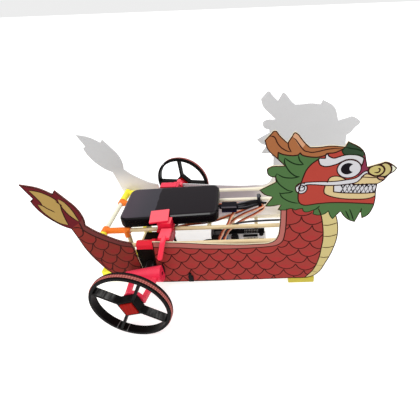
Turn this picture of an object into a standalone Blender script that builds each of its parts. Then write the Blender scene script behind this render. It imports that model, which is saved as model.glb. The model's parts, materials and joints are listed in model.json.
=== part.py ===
"""Wheeled dragon boat model: two flat dragon cut-outs on a dowel frame, driven by two wheels.

+X runs from the tail to the head, +Y to the left side, +Z up, metres.
The floor is at Z = 0 and the origin is under the middle of the boat.
"""
import math

import bmesh
import bpy
from mathutils import Matrix, Vector

for old in list(bpy.data.objects):
    bpy.data.objects.remove(old, do_unlink=True)

MM = 0.001
FIT = 0.3

# Side panels: flat card, one dragon outline each
PANEL_OUTER_Y = 75.0
PANEL_THICK = 1.8
PANEL_SEAT_Y = PANEL_OUTER_Y - PANEL_THICK - 0.4

# Dowels
DOWEL_R = 2.9
SOCKET_R = 3.2
INNER_RAIL_Y = 34.5
GUNWALE_RAIL_Y = 66.0
RAIL_Z = 75.0
GUNWALE_RAIL_Z = 74.0
BOTTOM_RAIL_Y = 60.0
BOTTOM_RAIL_Z = 20.0
STRAW_X = -161.0
STRAW_R = 3.3
POST_X = -129.0
POST_TOP = {"right": 66.4, "left": 71.5}
CROSSBAR_X = 130.0

# Wheels: each has its own place and its axle is turned a little in plan
WHEEL_AT = {"right": (-95.2, -146.0), "left": (-82.7, 140.0)}
AXLE_TURN = {"right": 7.0, "left": 12.0}
WHEEL_Z = 50.3
WHEEL_WIDTH = 10.6
RIM_R = 49.2
RIM_BORE_R = 45.7
BAND_R = WHEEL_Z
BAND_WIDTH = 5.4
SPOKE_THICK = 3.2
HUB_SIDE = 22.6
HUB_BORE = 17.6
PEG_SIDE = 17.0
SPINDLE_R = 4.0
SPINDLE_BORE_R = 4.06
PEG_PROUD = 1.9
BEARING_R = {"right": 13.0, "left": 6.6}
SPOKE_TURN = {"right": 63.5, "left": 2.0}

# Power bank
BANK_CENTRE = (-69.0, 5.0)
BANK_LENGTH = 139.0
BANK_WIDTH = 79.5
BANK_TURN = 3.0
BANK_Z0, BANK_Z1 = 79.5, 97.5
CLAMP_FACE = {"right": 35.7, "left": 45.3}
CLAMP_SHIFT = {"right": 0.0, "left": -7.0}

# Circuit board
BOARD_X0, BOARD_X1 = 1.0, 69.6
BOARD_Y0, BOARD_Y1 = -47.0, 6.4
BOARD_Z0, BOARD_Z1 = 29.7, 31.3

parts = bpy.data.collections.new("dragon_boat")
cutters = bpy.data.collections.new("cutters")
bpy.context.scene.collection.children.link(parts)
bpy.context.scene.collection.children.link(cutters)


def material(name, colour, roughness, metallic=0.0):
    mat = bpy.data.materials.new(name)
    mat.use_nodes = True
    shader = mat.node_tree.nodes["Principled BSDF"]
    shader.inputs["Base Color"].default_value = (*colour, 1.0)
    shader.inputs["Roughness"].default_value = roughness
    shader.inputs["Metallic"].default_value = metallic
    return mat


CARD = material("printed_card", (0.45, 0.05, 0.04), 0.55)
WOOD = material("dowel_wood", (0.72, 0.56, 0.34), 0.6)
STRAW = material("clear_straw", (0.80, 0.80, 0.78), 0.35)
YELLOW = material("yellow_print", (0.85, 0.72, 0.06), 0.5)
ORANGE = material("orange_print", (0.90, 0.22, 0.03), 0.5)
RED = material("red_print", (0.75, 0.02, 0.05), 0.45)
BLACK = material("black_print", (0.012, 0.012, 0.012), 0.5)
BAND = material("rubber_band", (0.50, 0.10, 0.10), 0.75)
BANK = material("bank_shell", (0.02, 0.018, 0.022), 0.28)
CABLE = material("black_cable", (0.015, 0.015, 0.018), 0.5)
LEAD = material("servo_lead", (0.55, 0.16, 0.06), 0.5)
BOARD = material("board_laminate", (0.82, 0.82, 0.80), 0.45)
BLUE = material("blue_terminal", (0.05, 0.12, 0.45), 0.5)


def store(obj, name, mat, collection=None):
    """Name an object, give it its material and put it in its collection."""
    obj.name = name
    obj.data.name = name
    for user in list(obj.users_collection):
        user.objects.unlink(obj)
    (collection or parts).objects.link(obj)
    obj.data.materials.clear()
    obj.data.materials.append(mat)
    return obj


def mesh_object(bm, name, mat, collection=None, smooth=True):
    """Turn a bmesh, modelled in millimetres, into an object in metres."""
    bmesh.ops.scale(bm, vec=(MM, MM, MM), verts=bm.verts)
    bmesh.ops.recalc_face_normals(bm, faces=bm.faces)
    mesh = bpy.data.meshes.new(name)
    bm.to_mesh(mesh)
    bm.free()
    if smooth:
        mesh.shade_smooth()
        mesh.set_sharp_from_angle(angle=math.radians(35))
    return store(bpy.data.objects.new(name, mesh), name, mat, collection)


def box(name, mat, x, y, z, round_edge=0.0, collection=None):
    """A block between the given pairs of X, Y and Z."""
    bm = bmesh.new()
    bmesh.ops.create_cube(bm, size=1.0)
    size = Vector((x[1] - x[0], y[1] - y[0], z[1] - z[0]))
    centre = Vector((x[0] + x[1], y[0] + y[1], z[0] + z[1])) / 2
    bmesh.ops.scale(bm, vec=size, verts=bm.verts)
    bmesh.ops.translate(bm, vec=centre, verts=bm.verts)
    if round_edge:
        bmesh.ops.bevel(bm, geom=bm.edges[:], offset=round_edge, segments=2,
                        profile=0.5, affect='EDGES')
    return mesh_object(bm, name, mat, collection)


def rod(name, mat, start, end, radius, end_radius=None, sides=24, collection=None):
    """A round bar, or a cone, from one point to another."""
    start, end = Vector(start), Vector(end)
    along = end - start
    bm = bmesh.new()
    bmesh.ops.create_cone(bm, cap_ends=True, segments=sides, radius1=radius,
                          radius2=radius if end_radius is None else end_radius,
                          depth=along.length)
    turn = along.to_track_quat('Z', 'Y').to_matrix().to_4x4()
    bmesh.ops.transform(bm, matrix=Matrix.Translation((start + end) / 2) @ turn, verts=bm.verts)
    return mesh_object(bm, name, mat, collection)


def beam(name, mat, start, end, width, height, collection=None):
    """A square-ended bar between two points."""
    start, end = Vector(start), Vector(end)
    along = end - start
    bm = bmesh.new()
    bmesh.ops.create_cube(bm, size=1.0)
    bmesh.ops.scale(bm, vec=(width, height, along.length), verts=bm.verts)
    turn = along.to_track_quat('Z', 'Y').to_matrix().to_4x4()
    bmesh.ops.transform(bm, matrix=Matrix.Translation((start + end) / 2) @ turn, verts=bm.verts)
    return mesh_object(bm, name, mat, collection)


def boolean(obj, tool, operation):
    """Add or cut a helper shape, which stays hidden in the cutters' collection."""
    tool.hide_render = True
    tool.display_type = 'WIRE'
    step = obj.modifiers.new(tool.name, 'BOOLEAN')
    step.operation = operation
    step.solver = 'EXACT'
    step.object = tool
    return obj


def add(obj, tool):
    return boolean(obj, tool, 'UNION')


def cut(obj, tool):
    return boolean(obj, tool, 'DIFFERENCE')


def smooth_path(points, count):
    """Points at even steps along a Catmull-Rom curve through the given ones."""
    knots = [Vector(p) for p in points]
    knots = [2 * knots[0] - knots[1]] + knots + [2 * knots[-1] - knots[-2]]
    spans = len(points) - 1
    path = []
    for i in range(count):
        u = i * spans / (count - 1)
        k = min(int(u), spans - 1)
        t = u - k
        a, b, c, d = knots[k:k + 4]
        path.append(0.5 * (2 * b + (c - a) * t + (2 * a - 5 * b + 4 * c - d) * t * t
                           + (3 * b - a - 3 * c + d) * t ** 3))
    return path


def tube(name, mat, points, radius, count=40):
    """A round cord or rod bent along a smooth route."""
    curve = bpy.data.curves.new(name, 'CURVE')
    curve.dimensions = '3D'
    curve.bevel_depth = radius * MM
    curve.bevel_resolution = 2
    curve.use_fill_caps = True
    spline = curve.splines.new('POLY')
    path = smooth_path(points, count)
    spline.points.add(len(path) - 1)
    for knot, place in zip(spline.points, path):
        knot.co = (*(place * MM), 1.0)
    return store(bpy.data.objects.new(name, curve), name, mat)


# The dragon outline, clockwise from the stern: X, Z in millimetres and 1 at a sharp corner
TAIL = (
    (-160, 116, 1), (-159, 126, 0), (-163, 143, 0), (-172, 157, 0), (-181, 169.5, 1),
    (-185, 164.5, 1), (-199, 173.5, 0), (-219, 179, 1), (-210, 159, 1), (-214.5, 156, 1),
    (-212.8, 149, 0), (-208, 138.3, 0), (-199.3, 126.7, 0), (-187, 115.8, 0), (-179, 111.5, 1),
)
STERN = (
    (-175, 94, 0), (-171, 76, 0), (-160, 50, 0), (-148, 31, 0), (-128, 17, 0), (-98, 11.5, 0),
)
KEEL = (
    (-40, 10, 0), (44, 9.6, 0), (104, 10.2, 0), (129, 11, 0),
)
CHEST = (
    (140, 18, 0), (150, 38, 0), (158.5, 64, 0), (162, 90, 0), (159, 113, 0), (157, 119, 1),
)
BEARD = (
    (161.5, 124.5, 1), (166.5, 117, 0), (173, 111, 0), (181.2, 107.5, 1), (186.5, 123.5, 1),
    (189.4, 113, 1), (196.2, 117.4, 0), (200.8, 127.5, 0), (202.3, 141, 0), (201.2, 152, 0),
)
SNOUT = (
    (201, 163, 1), (207.6, 167.4, 0), (210.2, 171.3, 0), (213.7, 176, 0), (218.3, 179.7, 0),
    (220.5, 184, 1), (215, 188.5, 0), (206, 192.5, 0), (201, 191, 1), (186, 186.5, 1),
)
CREST = (
    (184, 194, 0), (178.5, 208, 0), (160.5, 219.5, 1), (157.5, 213, 1), (142.5, 215, 0),
    (129.5, 214, 0), (119.5, 214, 1),
)
HORNS = (
    (114.5, 218.6, 0), (109, 225.7, 0), (104.7, 231, 0), (101.4, 232, 0), (98.8, 228.2, 0),
    (94, 220.5, 1), (86, 229, 0), (80.5, 235, 0), (75.5, 231, 0), (69, 224, 1), (72, 213, 0),
    (83, 200.5, 0), (91, 192, 1),
)
MANE = (
    (72.3, 189.7, 0), (70.9, 185.5, 0), (73.9, 178.8, 0), (80.4, 176.8, 1), (81, 171, 1),
    (61.5, 160.5, 1), (67.9, 153.2, 0), (77, 150, 1), (67.5, 136.5, 1), (75, 136, 0),
    (87, 138, 1), (83.5, 131, 1), (87, 129, 1),
)
GUNWALE = (
    (86, 106, 0), (82.5, 86, 0), (76, 79, 0), (56, 76.5, 0), (5, 78, 0), (-45, 83, 0),
    (-81.5, 85.5, 1),
)
MOUNT_SLOT = ((-84.6, 36, 1), (-103.5, 36, 1), (-108.8, 85, 1))
SHEER = ((-123, 89.5, 0), (-137, 97.5, 0), (-150, 106.5, 0))
OUTLINE = (TAIL + STERN + KEEL + CHEST + BEARD + SNOUT + CREST + HORNS + MANE + GUNWALE
           + MOUNT_SLOT + SHEER)


def panel(name, outer_y, inner_y):
    """A flat dragon cut from card: a 2D curve filled and extruded along Y."""
    curve = bpy.data.curves.new(name, 'CURVE')
    curve.dimensions = '2D'
    curve.fill_mode = 'BOTH'
    curve.extrude = PANEL_THICK / 2 * MM
    curve.resolution_u = 4
    spline = curve.splines.new('BEZIER')
    spline.use_cyclic_u = True
    spline.bezier_points.add(len(OUTLINE) - 1)
    for point, (x, z, corner) in zip(spline.bezier_points, OUTLINE):
        point.co = (x * MM, z * MM, 0.0)
        kind = 'VECTOR' if corner else 'AUTO'
        point.handle_left_type = kind
        point.handle_right_type = kind
    obj = store(bpy.data.objects.new(name, curve), name, CARD)
    obj.rotation_euler = (math.radians(90), 0.0, 0.0)
    obj.location = (0.0, (outer_y + inner_y) / 2 * MM, 0.0)
    return obj


def axle(side, inward, across=0.0, up=0.0):
    """A point on the wheel's axle, that far in from its middle, or beside or above it."""
    s = -1 if side == "right" else 1
    x, y = WHEEL_AT[side]
    c, n = math.cos(math.radians(AXLE_TURN[side])), math.sin(math.radians(AXLE_TURN[side]))
    return (x - s * inward * n + across * c, y - s * inward * c - across * n, WHEEL_Z + up)


def wheel(side, s):
    """Rim, four flat spokes and a square hub, all one print."""
    turn = math.radians(SPOKE_TURN[side])

    def across(name, length, width, depth, collection, proud=0.0):
        bm = bmesh.new()
        bmesh.ops.create_cube(bm, size=1.0)
        bmesh.ops.scale(bm, vec=(length, depth, width), verts=bm.verts)
        bmesh.ops.translate(bm, vec=(0, s * proud, 0), verts=bm.verts)
        return mesh_object(bm, name, BLACK, collection)

    def on_axle(obj, extra_turn=0.0):
        obj.location = Vector(axle(side, 0.0)) * MM
        obj.rotation_euler = (0.0, -(turn + extra_turn), -math.radians(AXLE_TURN[side]))
        return obj

    def ring(name, mat, radius, bore, width, collection=None):
        bm = bmesh.new()
        rows = ((radius, width / 2), (radius, -width / 2), (bore, -width / 2), (bore, width / 2))
        loop = [bm.verts.new((r, y, 0.0)) for r, y in rows]
        edges = [bm.edges.new((loop[i], loop[(i + 1) % 4])) for i in range(4)]
        bmesh.ops.spin(bm, geom=loop + edges, cent=(0, 0, 0), axis=(0, 1, 0),
                       angle=math.tau, steps=72, use_merge=True)
        return mesh_object(bm, name, mat, collection)

    rim = on_axle(ring(f"wheel_{side}", BLACK, RIM_R, RIM_BORE_R, WHEEL_WIDTH - 0.6))
    long = 2 * RIM_BORE_R + 2.0
    add(rim, on_axle(across(f"spokes_a_{side}", long, SPOKE_THICK, WHEEL_WIDTH - 0.8, cutters)))
    add(rim, on_axle(across(f"spokes_b_{side}", SPOKE_THICK, long, WHEEL_WIDTH - 0.8, cutters)))
    diamond = math.radians(45)
    hub = across(f"hub_block_{side}", HUB_SIDE, HUB_SIDE, WHEEL_WIDTH, cutters)
    add(rim, on_axle(hub, diamond))
    bore = across(f"hub_bore_{side}", HUB_BORE, HUB_BORE, WHEEL_WIDTH + 8, cutters)
    cut(rim, on_axle(bore, diamond))

    on_axle(ring(f"tread_band_{side}", BAND, BAND_R, RIM_R + FIT, BAND_WIDTH))

    peg = across(f"hub_peg_{side}", PEG_SIDE, PEG_SIDE, WHEEL_WIDTH - 1.0 + PEG_PROUD, None,
                 PEG_PROUD / 2)
    peg.data.materials[0] = RED
    on_axle(peg, diamond)
    add(peg, rod(f"spindle_{side}", RED, axle(side, 0), axle(side, 15.6), SPINDLE_R, sides=32,
                 collection=cutters))
    add(peg, rod(f"collar_{side}", RED, axle(side, 11.7), axle(side, 14.7), SPINDLE_R + 1.4,
                 collection=cutters))


def carrier(side, s):
    """Red leg: a tapered barrel outside the panel, and two arms out to the wheel's bearing."""
    barrel = rod(f"leg_carrier_{side}", RED, (-122, s * 87.3, 36.5), (-73, s * 87.3, 40.5),
                 7.2, 11.5, sides=32)
    add(barrel, rod(f"carrier_stub_{side}", RED, (-94, s * 67.4, 41.5), (-94, s * 88, 41.5), 5.0,
                    collection=cutters))
    reach = BEARING_R[side] - 3.0
    for name, start, end in (
            ("rear", (-113, s * 88, 36.5), axle(side, 8.5, -reach, -1.0)),
            ("front", (-80, s * 90, 40.0), axle(side, 8.5, reach, -3.0))):
        add(barrel, beam(f"carrier_{name}_arm_{side}", RED, start, end, 6.0, 5.0, cutters))
    add(barrel, rod(f"bearing_{side}", RED, axle(side, 10.7), axle(side, 6.3), BEARING_R[side],
                    sides=32, collection=cutters))
    cut(barrel, rod(f"bearing_bore_{side}", RED, axle(side, 24), axle(side, 2), SPINDLE_BORE_R,
                    sides=32, collection=cutters))
    cut(barrel, rod(f"collar_room_{side}", RED, axle(side, 24), axle(side, 11.4), SPINDLE_R + 1.8,
                    sides=32, collection=cutters))
    cut(barrel, rod(f"barrel_hole_{side}", RED, (-86, s * 87.3, 40.2), (-68, s * 87.3, 40.2), 3.2,
                    collection=cutters))


def drive(side, s):
    """Servo behind the slot, sleeve on the gunwale rail, clamp on the rails and its peg."""
    box(f"servo_{side}", BLACK, (-104, -84), sorted((s * 30, s * 67)), (28.5, 66.8), 0.8)
    sleeve = rod(f"rail_sleeve_{side}", RED, (-105.5, s * GUNWALE_RAIL_Y, GUNWALE_RAIL_Z),
                 (-86, s * GUNWALE_RAIL_Y, GUNWALE_RAIL_Z), 6.9, sides=6)
    cut(sleeve, rod(f"sleeve_bore_{side}", RED, (-110, s * GUNWALE_RAIL_Y, GUNWALE_RAIL_Z),
                    (-80, s * GUNWALE_RAIL_Y, GUNWALE_RAIL_Z), SOCKET_R, collection=cutters))

    face = CLAMP_FACE[side]
    front = face + 14.2
    dx = CLAMP_SHIFT[side]
    body = box(f"bank_clamp_{side}", RED, (-79 + dx, -61 + dx), sorted((s * face, s * front)),
               (78.0, 96.0))
    if side == "right":
        lip = box("clamp_lip_right", RED, (-12.8, 12.8), (-13.9, 13.9), (97.8, 100.5), 0.6, cutters)
        lip.location = (-77.7 * MM, -37.2 * MM, 0.0)
        lip.rotation_euler = (0.0, 0.0, math.radians(8.0))
        add(body, lip)
        add(body, box("clamp_neck_right", RED, (-79, -65), (-front + 0.6, -face), (94, 98.5),
                      0.0, cutters))
    else:
        add(body, box("clamp_lip_left", RED, (-90.5 + dx, -65 + dx), (face, front), (94.0, 96.6),
                      0.6, cutters))
    add(body, box(f"clamp_flange_{side}", RED, (-81 + dx, -59 + dx),
                  sorted((s * face, s * (front + 2.4))), (82.5, 85.0), 0.0, cutters))
    grip_in = max(INNER_RAIL_Y + DOWEL_R + FIT, face)
    add(body, box(f"clamp_grip_{side}", RED, (-78 + dx, -60 + dx),
                  sorted((s * grip_in, s * PANEL_SEAT_Y)), (68.8, 82.0), 0.0, cutters))
    cut(body, rod(f"clamp_bore_{side}", RED, (-100, s * GUNWALE_RAIL_Y, GUNWALE_RAIL_Z),
                  (-50, s * GUNWALE_RAIL_Y, GUNWALE_RAIL_Z), SOCKET_R, collection=cutters))

    arm = box(f"peg_{side}", RED, (-73.5 + dx, -59.5 + dx),
              sorted((s * (front + 2.4 + FIT), s * 72.0)), (85.4, 89.6), 0.6)
    add(arm, rod(f"peg_neck_{side}", RED, (-66 + dx, s * 66, 88.8), (-66 + dx, s * 80.5, 88.8), 3.3,
                 collection=cutters))
    add(arm, rod(f"peg_rod_{side}", RED, (-65.4 + dx, s * 79.6, 90.6), (-75.5 + dx, s * 81, 57), 3.3,
                 collection=cutters))


def frame(side, s):
    """Dowels and printed joints on one side."""
    inner, outer, low = s * INNER_RAIL_Y, s * GUNWALE_RAIL_Y, s * BOTTOM_RAIL_Y
    socket_end = CROSSBAR_X - 1.0
    rod(f"inner_rail_{side}", WOOD, (-150, inner, RAIL_Z - 0.3), (socket_end, inner, RAIL_Z - 0.3),
        DOWEL_R)
    rod(f"gunwale_rail_{side}", WOOD, (-150, outer, GUNWALE_RAIL_Z),
        (socket_end, outer, GUNWALE_RAIL_Z), DOWEL_R)
    rod(f"bottom_rail_{side}", WOOD, (-154, low, BOTTOM_RAIL_Z), (112, low, BOTTOM_RAIL_Z), DOWEL_R)
    rod(f"rear_post_{side}", WOOD, (POST_X, inner, 26), (POST_X, inner, POST_TOP[side]), DOWEL_R)

    tee_end = -124.5 if side == "right" else -139.5
    ring_in = 29.5 if side == "right" else 33.5
    tee = rod(f"rear_tee_{side}", ORANGE, (STRAW_X, inner, RAIL_Z - 0.3),
              (tee_end, inner, RAIL_Z - 0.3), 4.5)
    add(tee, rod(f"tee_ring_{side}", ORANGE, (STRAW_X, s * ring_in, RAIL_Z - 0.3),
                 (STRAW_X, s * 41.0, RAIL_Z - 0.3), 5.2, collection=cutters))
    if side == "right":
        add(tee, rod("tee_riser", ORANGE, (POST_X, s * 38.8, 66.8), (POST_X, s * 38.8, 78.2), 3.4,
                     collection=cutters))
    cut(tee, rod(f"tee_straw_bore_{side}", ORANGE, (STRAW_X, s * 20, RAIL_Z - 0.3),
                 (STRAW_X, s * 50, RAIL_Z - 0.3), STRAW_R + FIT, collection=cutters))
    cut(tee, rod(f"tee_rail_bore_{side}", ORANGE, (-150.3, inner, RAIL_Z - 0.3),
                 (-110, inner, RAIL_Z - 0.3), SOCKET_R, collection=cutters))

    corner = rod(f"rear_corner_{side}", YELLOW, (STRAW_X, s * 41.4, RAIL_Z - 0.3),
                 (STRAW_X, s * 70.5, RAIL_Z - 0.3), 5.0)
    add(corner, rod(f"corner_stub_{side}", YELLOW, (STRAW_X, outer, GUNWALE_RAIL_Z),
                    (-141, outer, GUNWALE_RAIL_Z), 4.8, collection=cutters))
    cut(corner, rod(f"corner_straw_bore_{side}", YELLOW, (STRAW_X, s * 30, RAIL_Z - 0.3),
                    (STRAW_X, s * 57.3, RAIL_Z - 0.3), STRAW_R + FIT, collection=cutters))
    cut(corner, rod(f"corner_rail_bore_{side}", YELLOW, (-150.3, outer, GUNWALE_RAIL_Z),
                    (-130, outer, GUNWALE_RAIL_Z), SOCKET_R, collection=cutters))

    shoe = box(f"rear_shoe_{side}", YELLOW, (-168, -150), sorted((s * 54.5, s * 67)),
               (13.5, 26.5), 0.8)
    cut(shoe, rod(f"rear_shoe_bore_{side}", YELLOW, (-154.3, low, BOTTOM_RAIL_Z),
                  (-140, low, BOTTOM_RAIL_Z), SOCKET_R, collection=cutters))

    foot = box(f"front_foot_{side}", YELLOW, (99, 136), sorted((s * 54.5, s * 74.8)), (0.0, 9.2), 0.8)
    add(foot, box(f"foot_upstand_{side}", YELLOW, (100, 128), sorted((s * 54.5, s * PANEL_SEAT_Y)),
                  (5.0, 25.5), 0.0, cutters))
    cut(foot, rod(f"foot_bore_{side}", YELLOW, (90, low, BOTTOM_RAIL_Z),
                  (112.3, low, BOTTOM_RAIL_Z), SOCKET_R, collection=cutters))


for side, s in (("right", -1), ("left", 1)):
    panel(f"side_panel_{side}", s * PANEL_OUTER_Y, s * (PANEL_OUTER_Y - PANEL_THICK))
    frame(side, s)
    drive(side, s)
    carrier(side, s)
    wheel(side, s)

# Cross members
rod("rear_straw", STRAW, (STRAW_X, -57, RAIL_Z - 0.3), (STRAW_X, 57, RAIL_Z - 0.3), STRAW_R)
reach = BOTTOM_RAIL_Y - DOWEL_R - FIT
cross = rod("rear_cross_dowel", WOOD, (POST_X, -reach, BOTTOM_RAIL_Z), (POST_X, reach, BOTTOM_RAIL_Z),
            DOWEL_R)
for side, s in (("right", -1), ("left", 1)):
    seat = box(f"post_seat_{side}", YELLOW, (-134.5, -123.5), sorted((s * 29, s * 40)), (14.5, 32), 0.8)
    cut(seat, rod(f"seat_cross_bore_{side}", YELLOW, (POST_X, s * 20, BOTTOM_RAIL_Z),
                  (POST_X, s * 50, BOTTOM_RAIL_Z), SOCKET_R, collection=cutters))
    cut(seat, rod(f"seat_post_bore_{side}", YELLOW, (POST_X, s * INNER_RAIL_Y, 25.7),
                  (POST_X, s * INNER_RAIL_Y, 40), SOCKET_R, collection=cutters))
for name, x in (("rear", 15.0), ("front", 55.0)):
    rod(f"tray_dowel_{name}", WOOD, (x, -reach, BOTTOM_RAIL_Z), (x, reach, BOTTOM_RAIL_Z), DOWEL_R)
span = INNER_RAIL_Y - DOWEL_R - FIT
for name, x in (("rear", -100.0), ("front", -12.0)):
    rod(f"bank_dowel_{name}", WOOD, (x, -span, RAIL_Z), (x, span, RAIL_Z), DOWEL_R)
crossbar = box("front_crossbar", WOOD, (CROSSBAR_X - 8, CROSSBAR_X), (-PANEL_SEAT_Y, PANEL_SEAT_Y),
               (66, 84))
for s in (-1, 1):
    for y, z in ((s * INNER_RAIL_Y, RAIL_Z - 0.3), (s * GUNWALE_RAIL_Y, GUNWALE_RAIL_Z)):
        cut(crossbar, rod(f"crossbar_bore_{y:.0f}", WOOD, (CROSSBAR_X - 12, y, z),
                          (CROSSBAR_X - 1.0 + FIT, y, z), SOCKET_R, collection=cutters))

# Power bank: a flat slab with rounded corners in plan and softer edges
bank = box("power_bank", BANK, (-BANK_LENGTH / 2, BANK_LENGTH / 2), (-BANK_WIDTH / 2, BANK_WIDTH / 2),
           (BANK_Z0, BANK_Z1))
bank.location = (BANK_CENTRE[0] * MM, BANK_CENTRE[1] * MM, 0.0)
bank.rotation_euler = (0.0, 0.0, math.radians(BANK_TURN))
upright = bank.data.attributes.new("bevel_weight_edge", 'FLOAT', 'EDGE')
for edge in bank.data.edges:
    a, b = (bank.data.vertices[i].co for i in edge.vertices)
    upright.data[edge.index].value = 1.0 if abs(a.z - b.z) > 1e-4 else 0.0
corners = bank.modifiers.new("plan_corners", 'BEVEL')
corners.limit_method = 'WEIGHT'
corners.width = 11 * MM
corners.segments = 6
soft = bank.modifiers.new("soft_edges", 'BEVEL')
soft.limit_method = 'ANGLE'
soft.angle_limit = math.radians(40)
soft.width = 4.5 * MM
soft.segments = 3

# Circuit board on a tray with four bosses
tray = box("board_tray", CARD, (1, 70), (-47, 6), (23.2, 25.2))
tray.data.materials[0] = BOARD
for x in (BOARD_X0 + 6, BOARD_X1 - 6):
    for y in (BOARD_Y0 + 5, BOARD_Y1 - 6):
        add(tray, rod(f"tray_boss_{x:.0f}_{y:.0f}", BOARD, (x, y, 24), (x, y, BOARD_Z0 - FIT), 3.0,
                      sides=16, collection=cutters))
box("circuit_board", BOARD, (BOARD_X0, BOARD_X1), (BOARD_Y0, BOARD_Y1), (BOARD_Z0, BOARD_Z1))
box("pin_header_long", BLACK, (11, 68), (1.0, 3.6), (31.6, 40.0))
rod("round_buzzer", BLACK, (21.7, -10.5, 31.6), (21.7, -10.5, 38.5), 6.0)
box("blue_terminal", BLUE, (3, 8.5), (-16, -4), (31.6, 40.0), 0.4)
box("main_chip", BLACK, (36, 58), (-24, -17), (31.6, 35.0), 0.3)
box("power_jack", BLACK, (-13, 2.5), (-24, -12), (31.6, 42.6), 0.5)

# Charging plug and its cable, tied to the far inner rail
plug = box("bank_plug", CABLE, (6.5, 27.5), (-9, 4), (83.5, 92.0), 1.2)
add(plug, box("plug_tongue", CABLE, (1.6, 8), (-6.5, 1.5), (85.6, 89.8), 0.0, cutters))
tube("bank_cable", CABLE,
     ((28.0, -2.5, 87.6), (33, -2.2, 87.5), (41, 2, 86), (51, 15, 80), (60, 26.6, 74), (68, 28.4, 71),
      (75, 31.5, 67), (71, 36.5, 65.2), (60, 37, 66), (35, 37, 65), (0, 35, 63), (-35, 24, 62),
      (-58, 8, 60), (-66.5, -3, 57.5), (-71, -11, 50), (-70, -17, 40), (-64, -21, 32),
      (-48, -22, 30.5), (-32, -19.5, 33), (-22, -18.2, 36.2), (-13.8, -18, 36.8)), 1.9, 110)
tie = rod("cable_tie", CABLE, (59.5, 33, 71.5), (64.2, 33, 71.5), 11.6, sides=24)
cut(tie, rod("tie_opening", CABLE, (50, 33, 71.5), (70, 33, 71.5), 10.3, sides=24,
             collection=cutters))

# Servo leads: flat three-core leads, each a plain cord here
tube("servo_lead_right", LEAD,
     ((-83.5, -42, 62), (-80, -42, 62.1), (-73, -34, 65.5), (-60, -24, 68), (-35, -14, 69),
      (-5, -5, 69.2), (30, 9, 69.5), (50, 22, 69.6), (60, 27.4, 69), (66, 25.6, 67.2),
      (65.5, 19.5, 65), (52, 12.5, 62.5), (38, 5.5, 60.5), (26, -1, 58), (17, -7.5, 55),
      (10, -13, 51.5), (4.5, -19.5, 48), (0.5, -24.8, 45), (-1.5, -26.8, 41)), 1.3, 100)
tube("servo_lead_left", LEAD,
     ((-83.5, 42, 62), (-80, 42, 62.1), (-73, 36, 64.5), (-60, 32.5, 66), (-20, 32.5, 68), (30, 32.5, 68.3),
      (61, 32.5, 68.2), (66, 31, 65.8), (67, 25, 62), (54, 16, 58.5), (40, 8, 56.5), (28, 1, 54),
      (19, -5.5, 51), (12.5, -11, 48), (8.5, -17.5, 45), (6, -24, 40)), 1.3, 90)
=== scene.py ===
"""Wheeled dragon boat model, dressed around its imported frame.

The boat is two printed card cut-outs on a frame of birch dowels and printed plastic joints. A power bank lies
on the rails, a control board sits low between the panels, and two printed wheels carry the stern.
+X is the bow, +Y the boat's left side, +Z up; drawing sizes are millimetres, meshes are metres.
"""

import json
import math

import bmesh
import bpy
import numpy as np
from mathutils import Matrix, Vector
from mathutils.geometry import delaunay_2d_cdt


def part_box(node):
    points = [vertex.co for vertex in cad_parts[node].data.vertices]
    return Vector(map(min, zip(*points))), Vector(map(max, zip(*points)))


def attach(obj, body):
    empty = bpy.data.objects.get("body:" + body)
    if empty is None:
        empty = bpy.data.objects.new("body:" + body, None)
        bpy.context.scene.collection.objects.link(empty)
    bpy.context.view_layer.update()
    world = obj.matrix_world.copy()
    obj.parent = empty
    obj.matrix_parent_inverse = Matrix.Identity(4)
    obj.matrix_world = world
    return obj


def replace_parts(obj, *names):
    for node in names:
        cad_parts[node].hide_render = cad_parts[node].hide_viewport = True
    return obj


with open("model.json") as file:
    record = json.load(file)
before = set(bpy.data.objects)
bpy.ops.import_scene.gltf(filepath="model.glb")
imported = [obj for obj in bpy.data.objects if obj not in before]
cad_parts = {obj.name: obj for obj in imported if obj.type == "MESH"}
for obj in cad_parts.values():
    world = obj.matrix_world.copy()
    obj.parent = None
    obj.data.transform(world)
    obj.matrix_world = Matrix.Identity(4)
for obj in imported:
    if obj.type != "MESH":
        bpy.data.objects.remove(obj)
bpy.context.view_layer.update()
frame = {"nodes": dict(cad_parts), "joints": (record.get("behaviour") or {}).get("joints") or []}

# Camera: a moderately wide lens held above the boat's right side, looking down on it. Its shift puts the
# boat where the picture's crop has it.
eye = bpy.data.cameras.new("camera")
eye.sensor_width = 36.0
eye.lens = 28.286
eye.shift_x = -0.1070
eye.shift_y = -0.0487
eye.clip_start = 0.01
camera = bpy.data.objects.new("camera", eye)
aim = (Matrix.Rotation(math.radians(0.609), 4, 'Z') @ Matrix.Rotation(math.radians(90 - 32.152), 4, 'X')
       @ Matrix.Rotation(math.radians(-2.318), 4, 'Z'))
camera.matrix_world = Matrix.Translation((0.0600, -0.4065, 0.3698)) @ aim
bpy.context.scene.collection.objects.link(camera)
bpy.context.scene.camera = camera


# Studio: a white sweep lit a little from below, as on a light table, under an even white room, with one
# large soft lamp over the camera's left shoulder and a weaker one from behind for the upper edges.
def finish(name, **values):
    """A new material, its node tree and its Principled shader with the named inputs set."""
    mat = bpy.data.materials.new(name)
    mat.use_nodes = True
    shader = mat.node_tree.nodes["Principled BSDF"]
    for key, value in values.items():
        shader.inputs[key.replace("_", " ")].default_value = value
    return mat, mat.node_tree, shader


def put(tree, kind, settings=None, **inputs):
    """A shader node with its settings. Inputs, by name or as i and a number, are values or sockets."""
    made = tree.nodes.new("ShaderNode" + kind)
    for key, value in (settings or {}).items():
        setattr(made, key, value)
    for key, value in inputs.items():
        socket = made.inputs[int(key[1:]) if key[1:].isdigit() else key.replace("_", " ")]
        if isinstance(value, bpy.types.NodeSocket):
            tree.links.new(value, socket)
        else:
            socket.default_value = value
    return made


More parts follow.
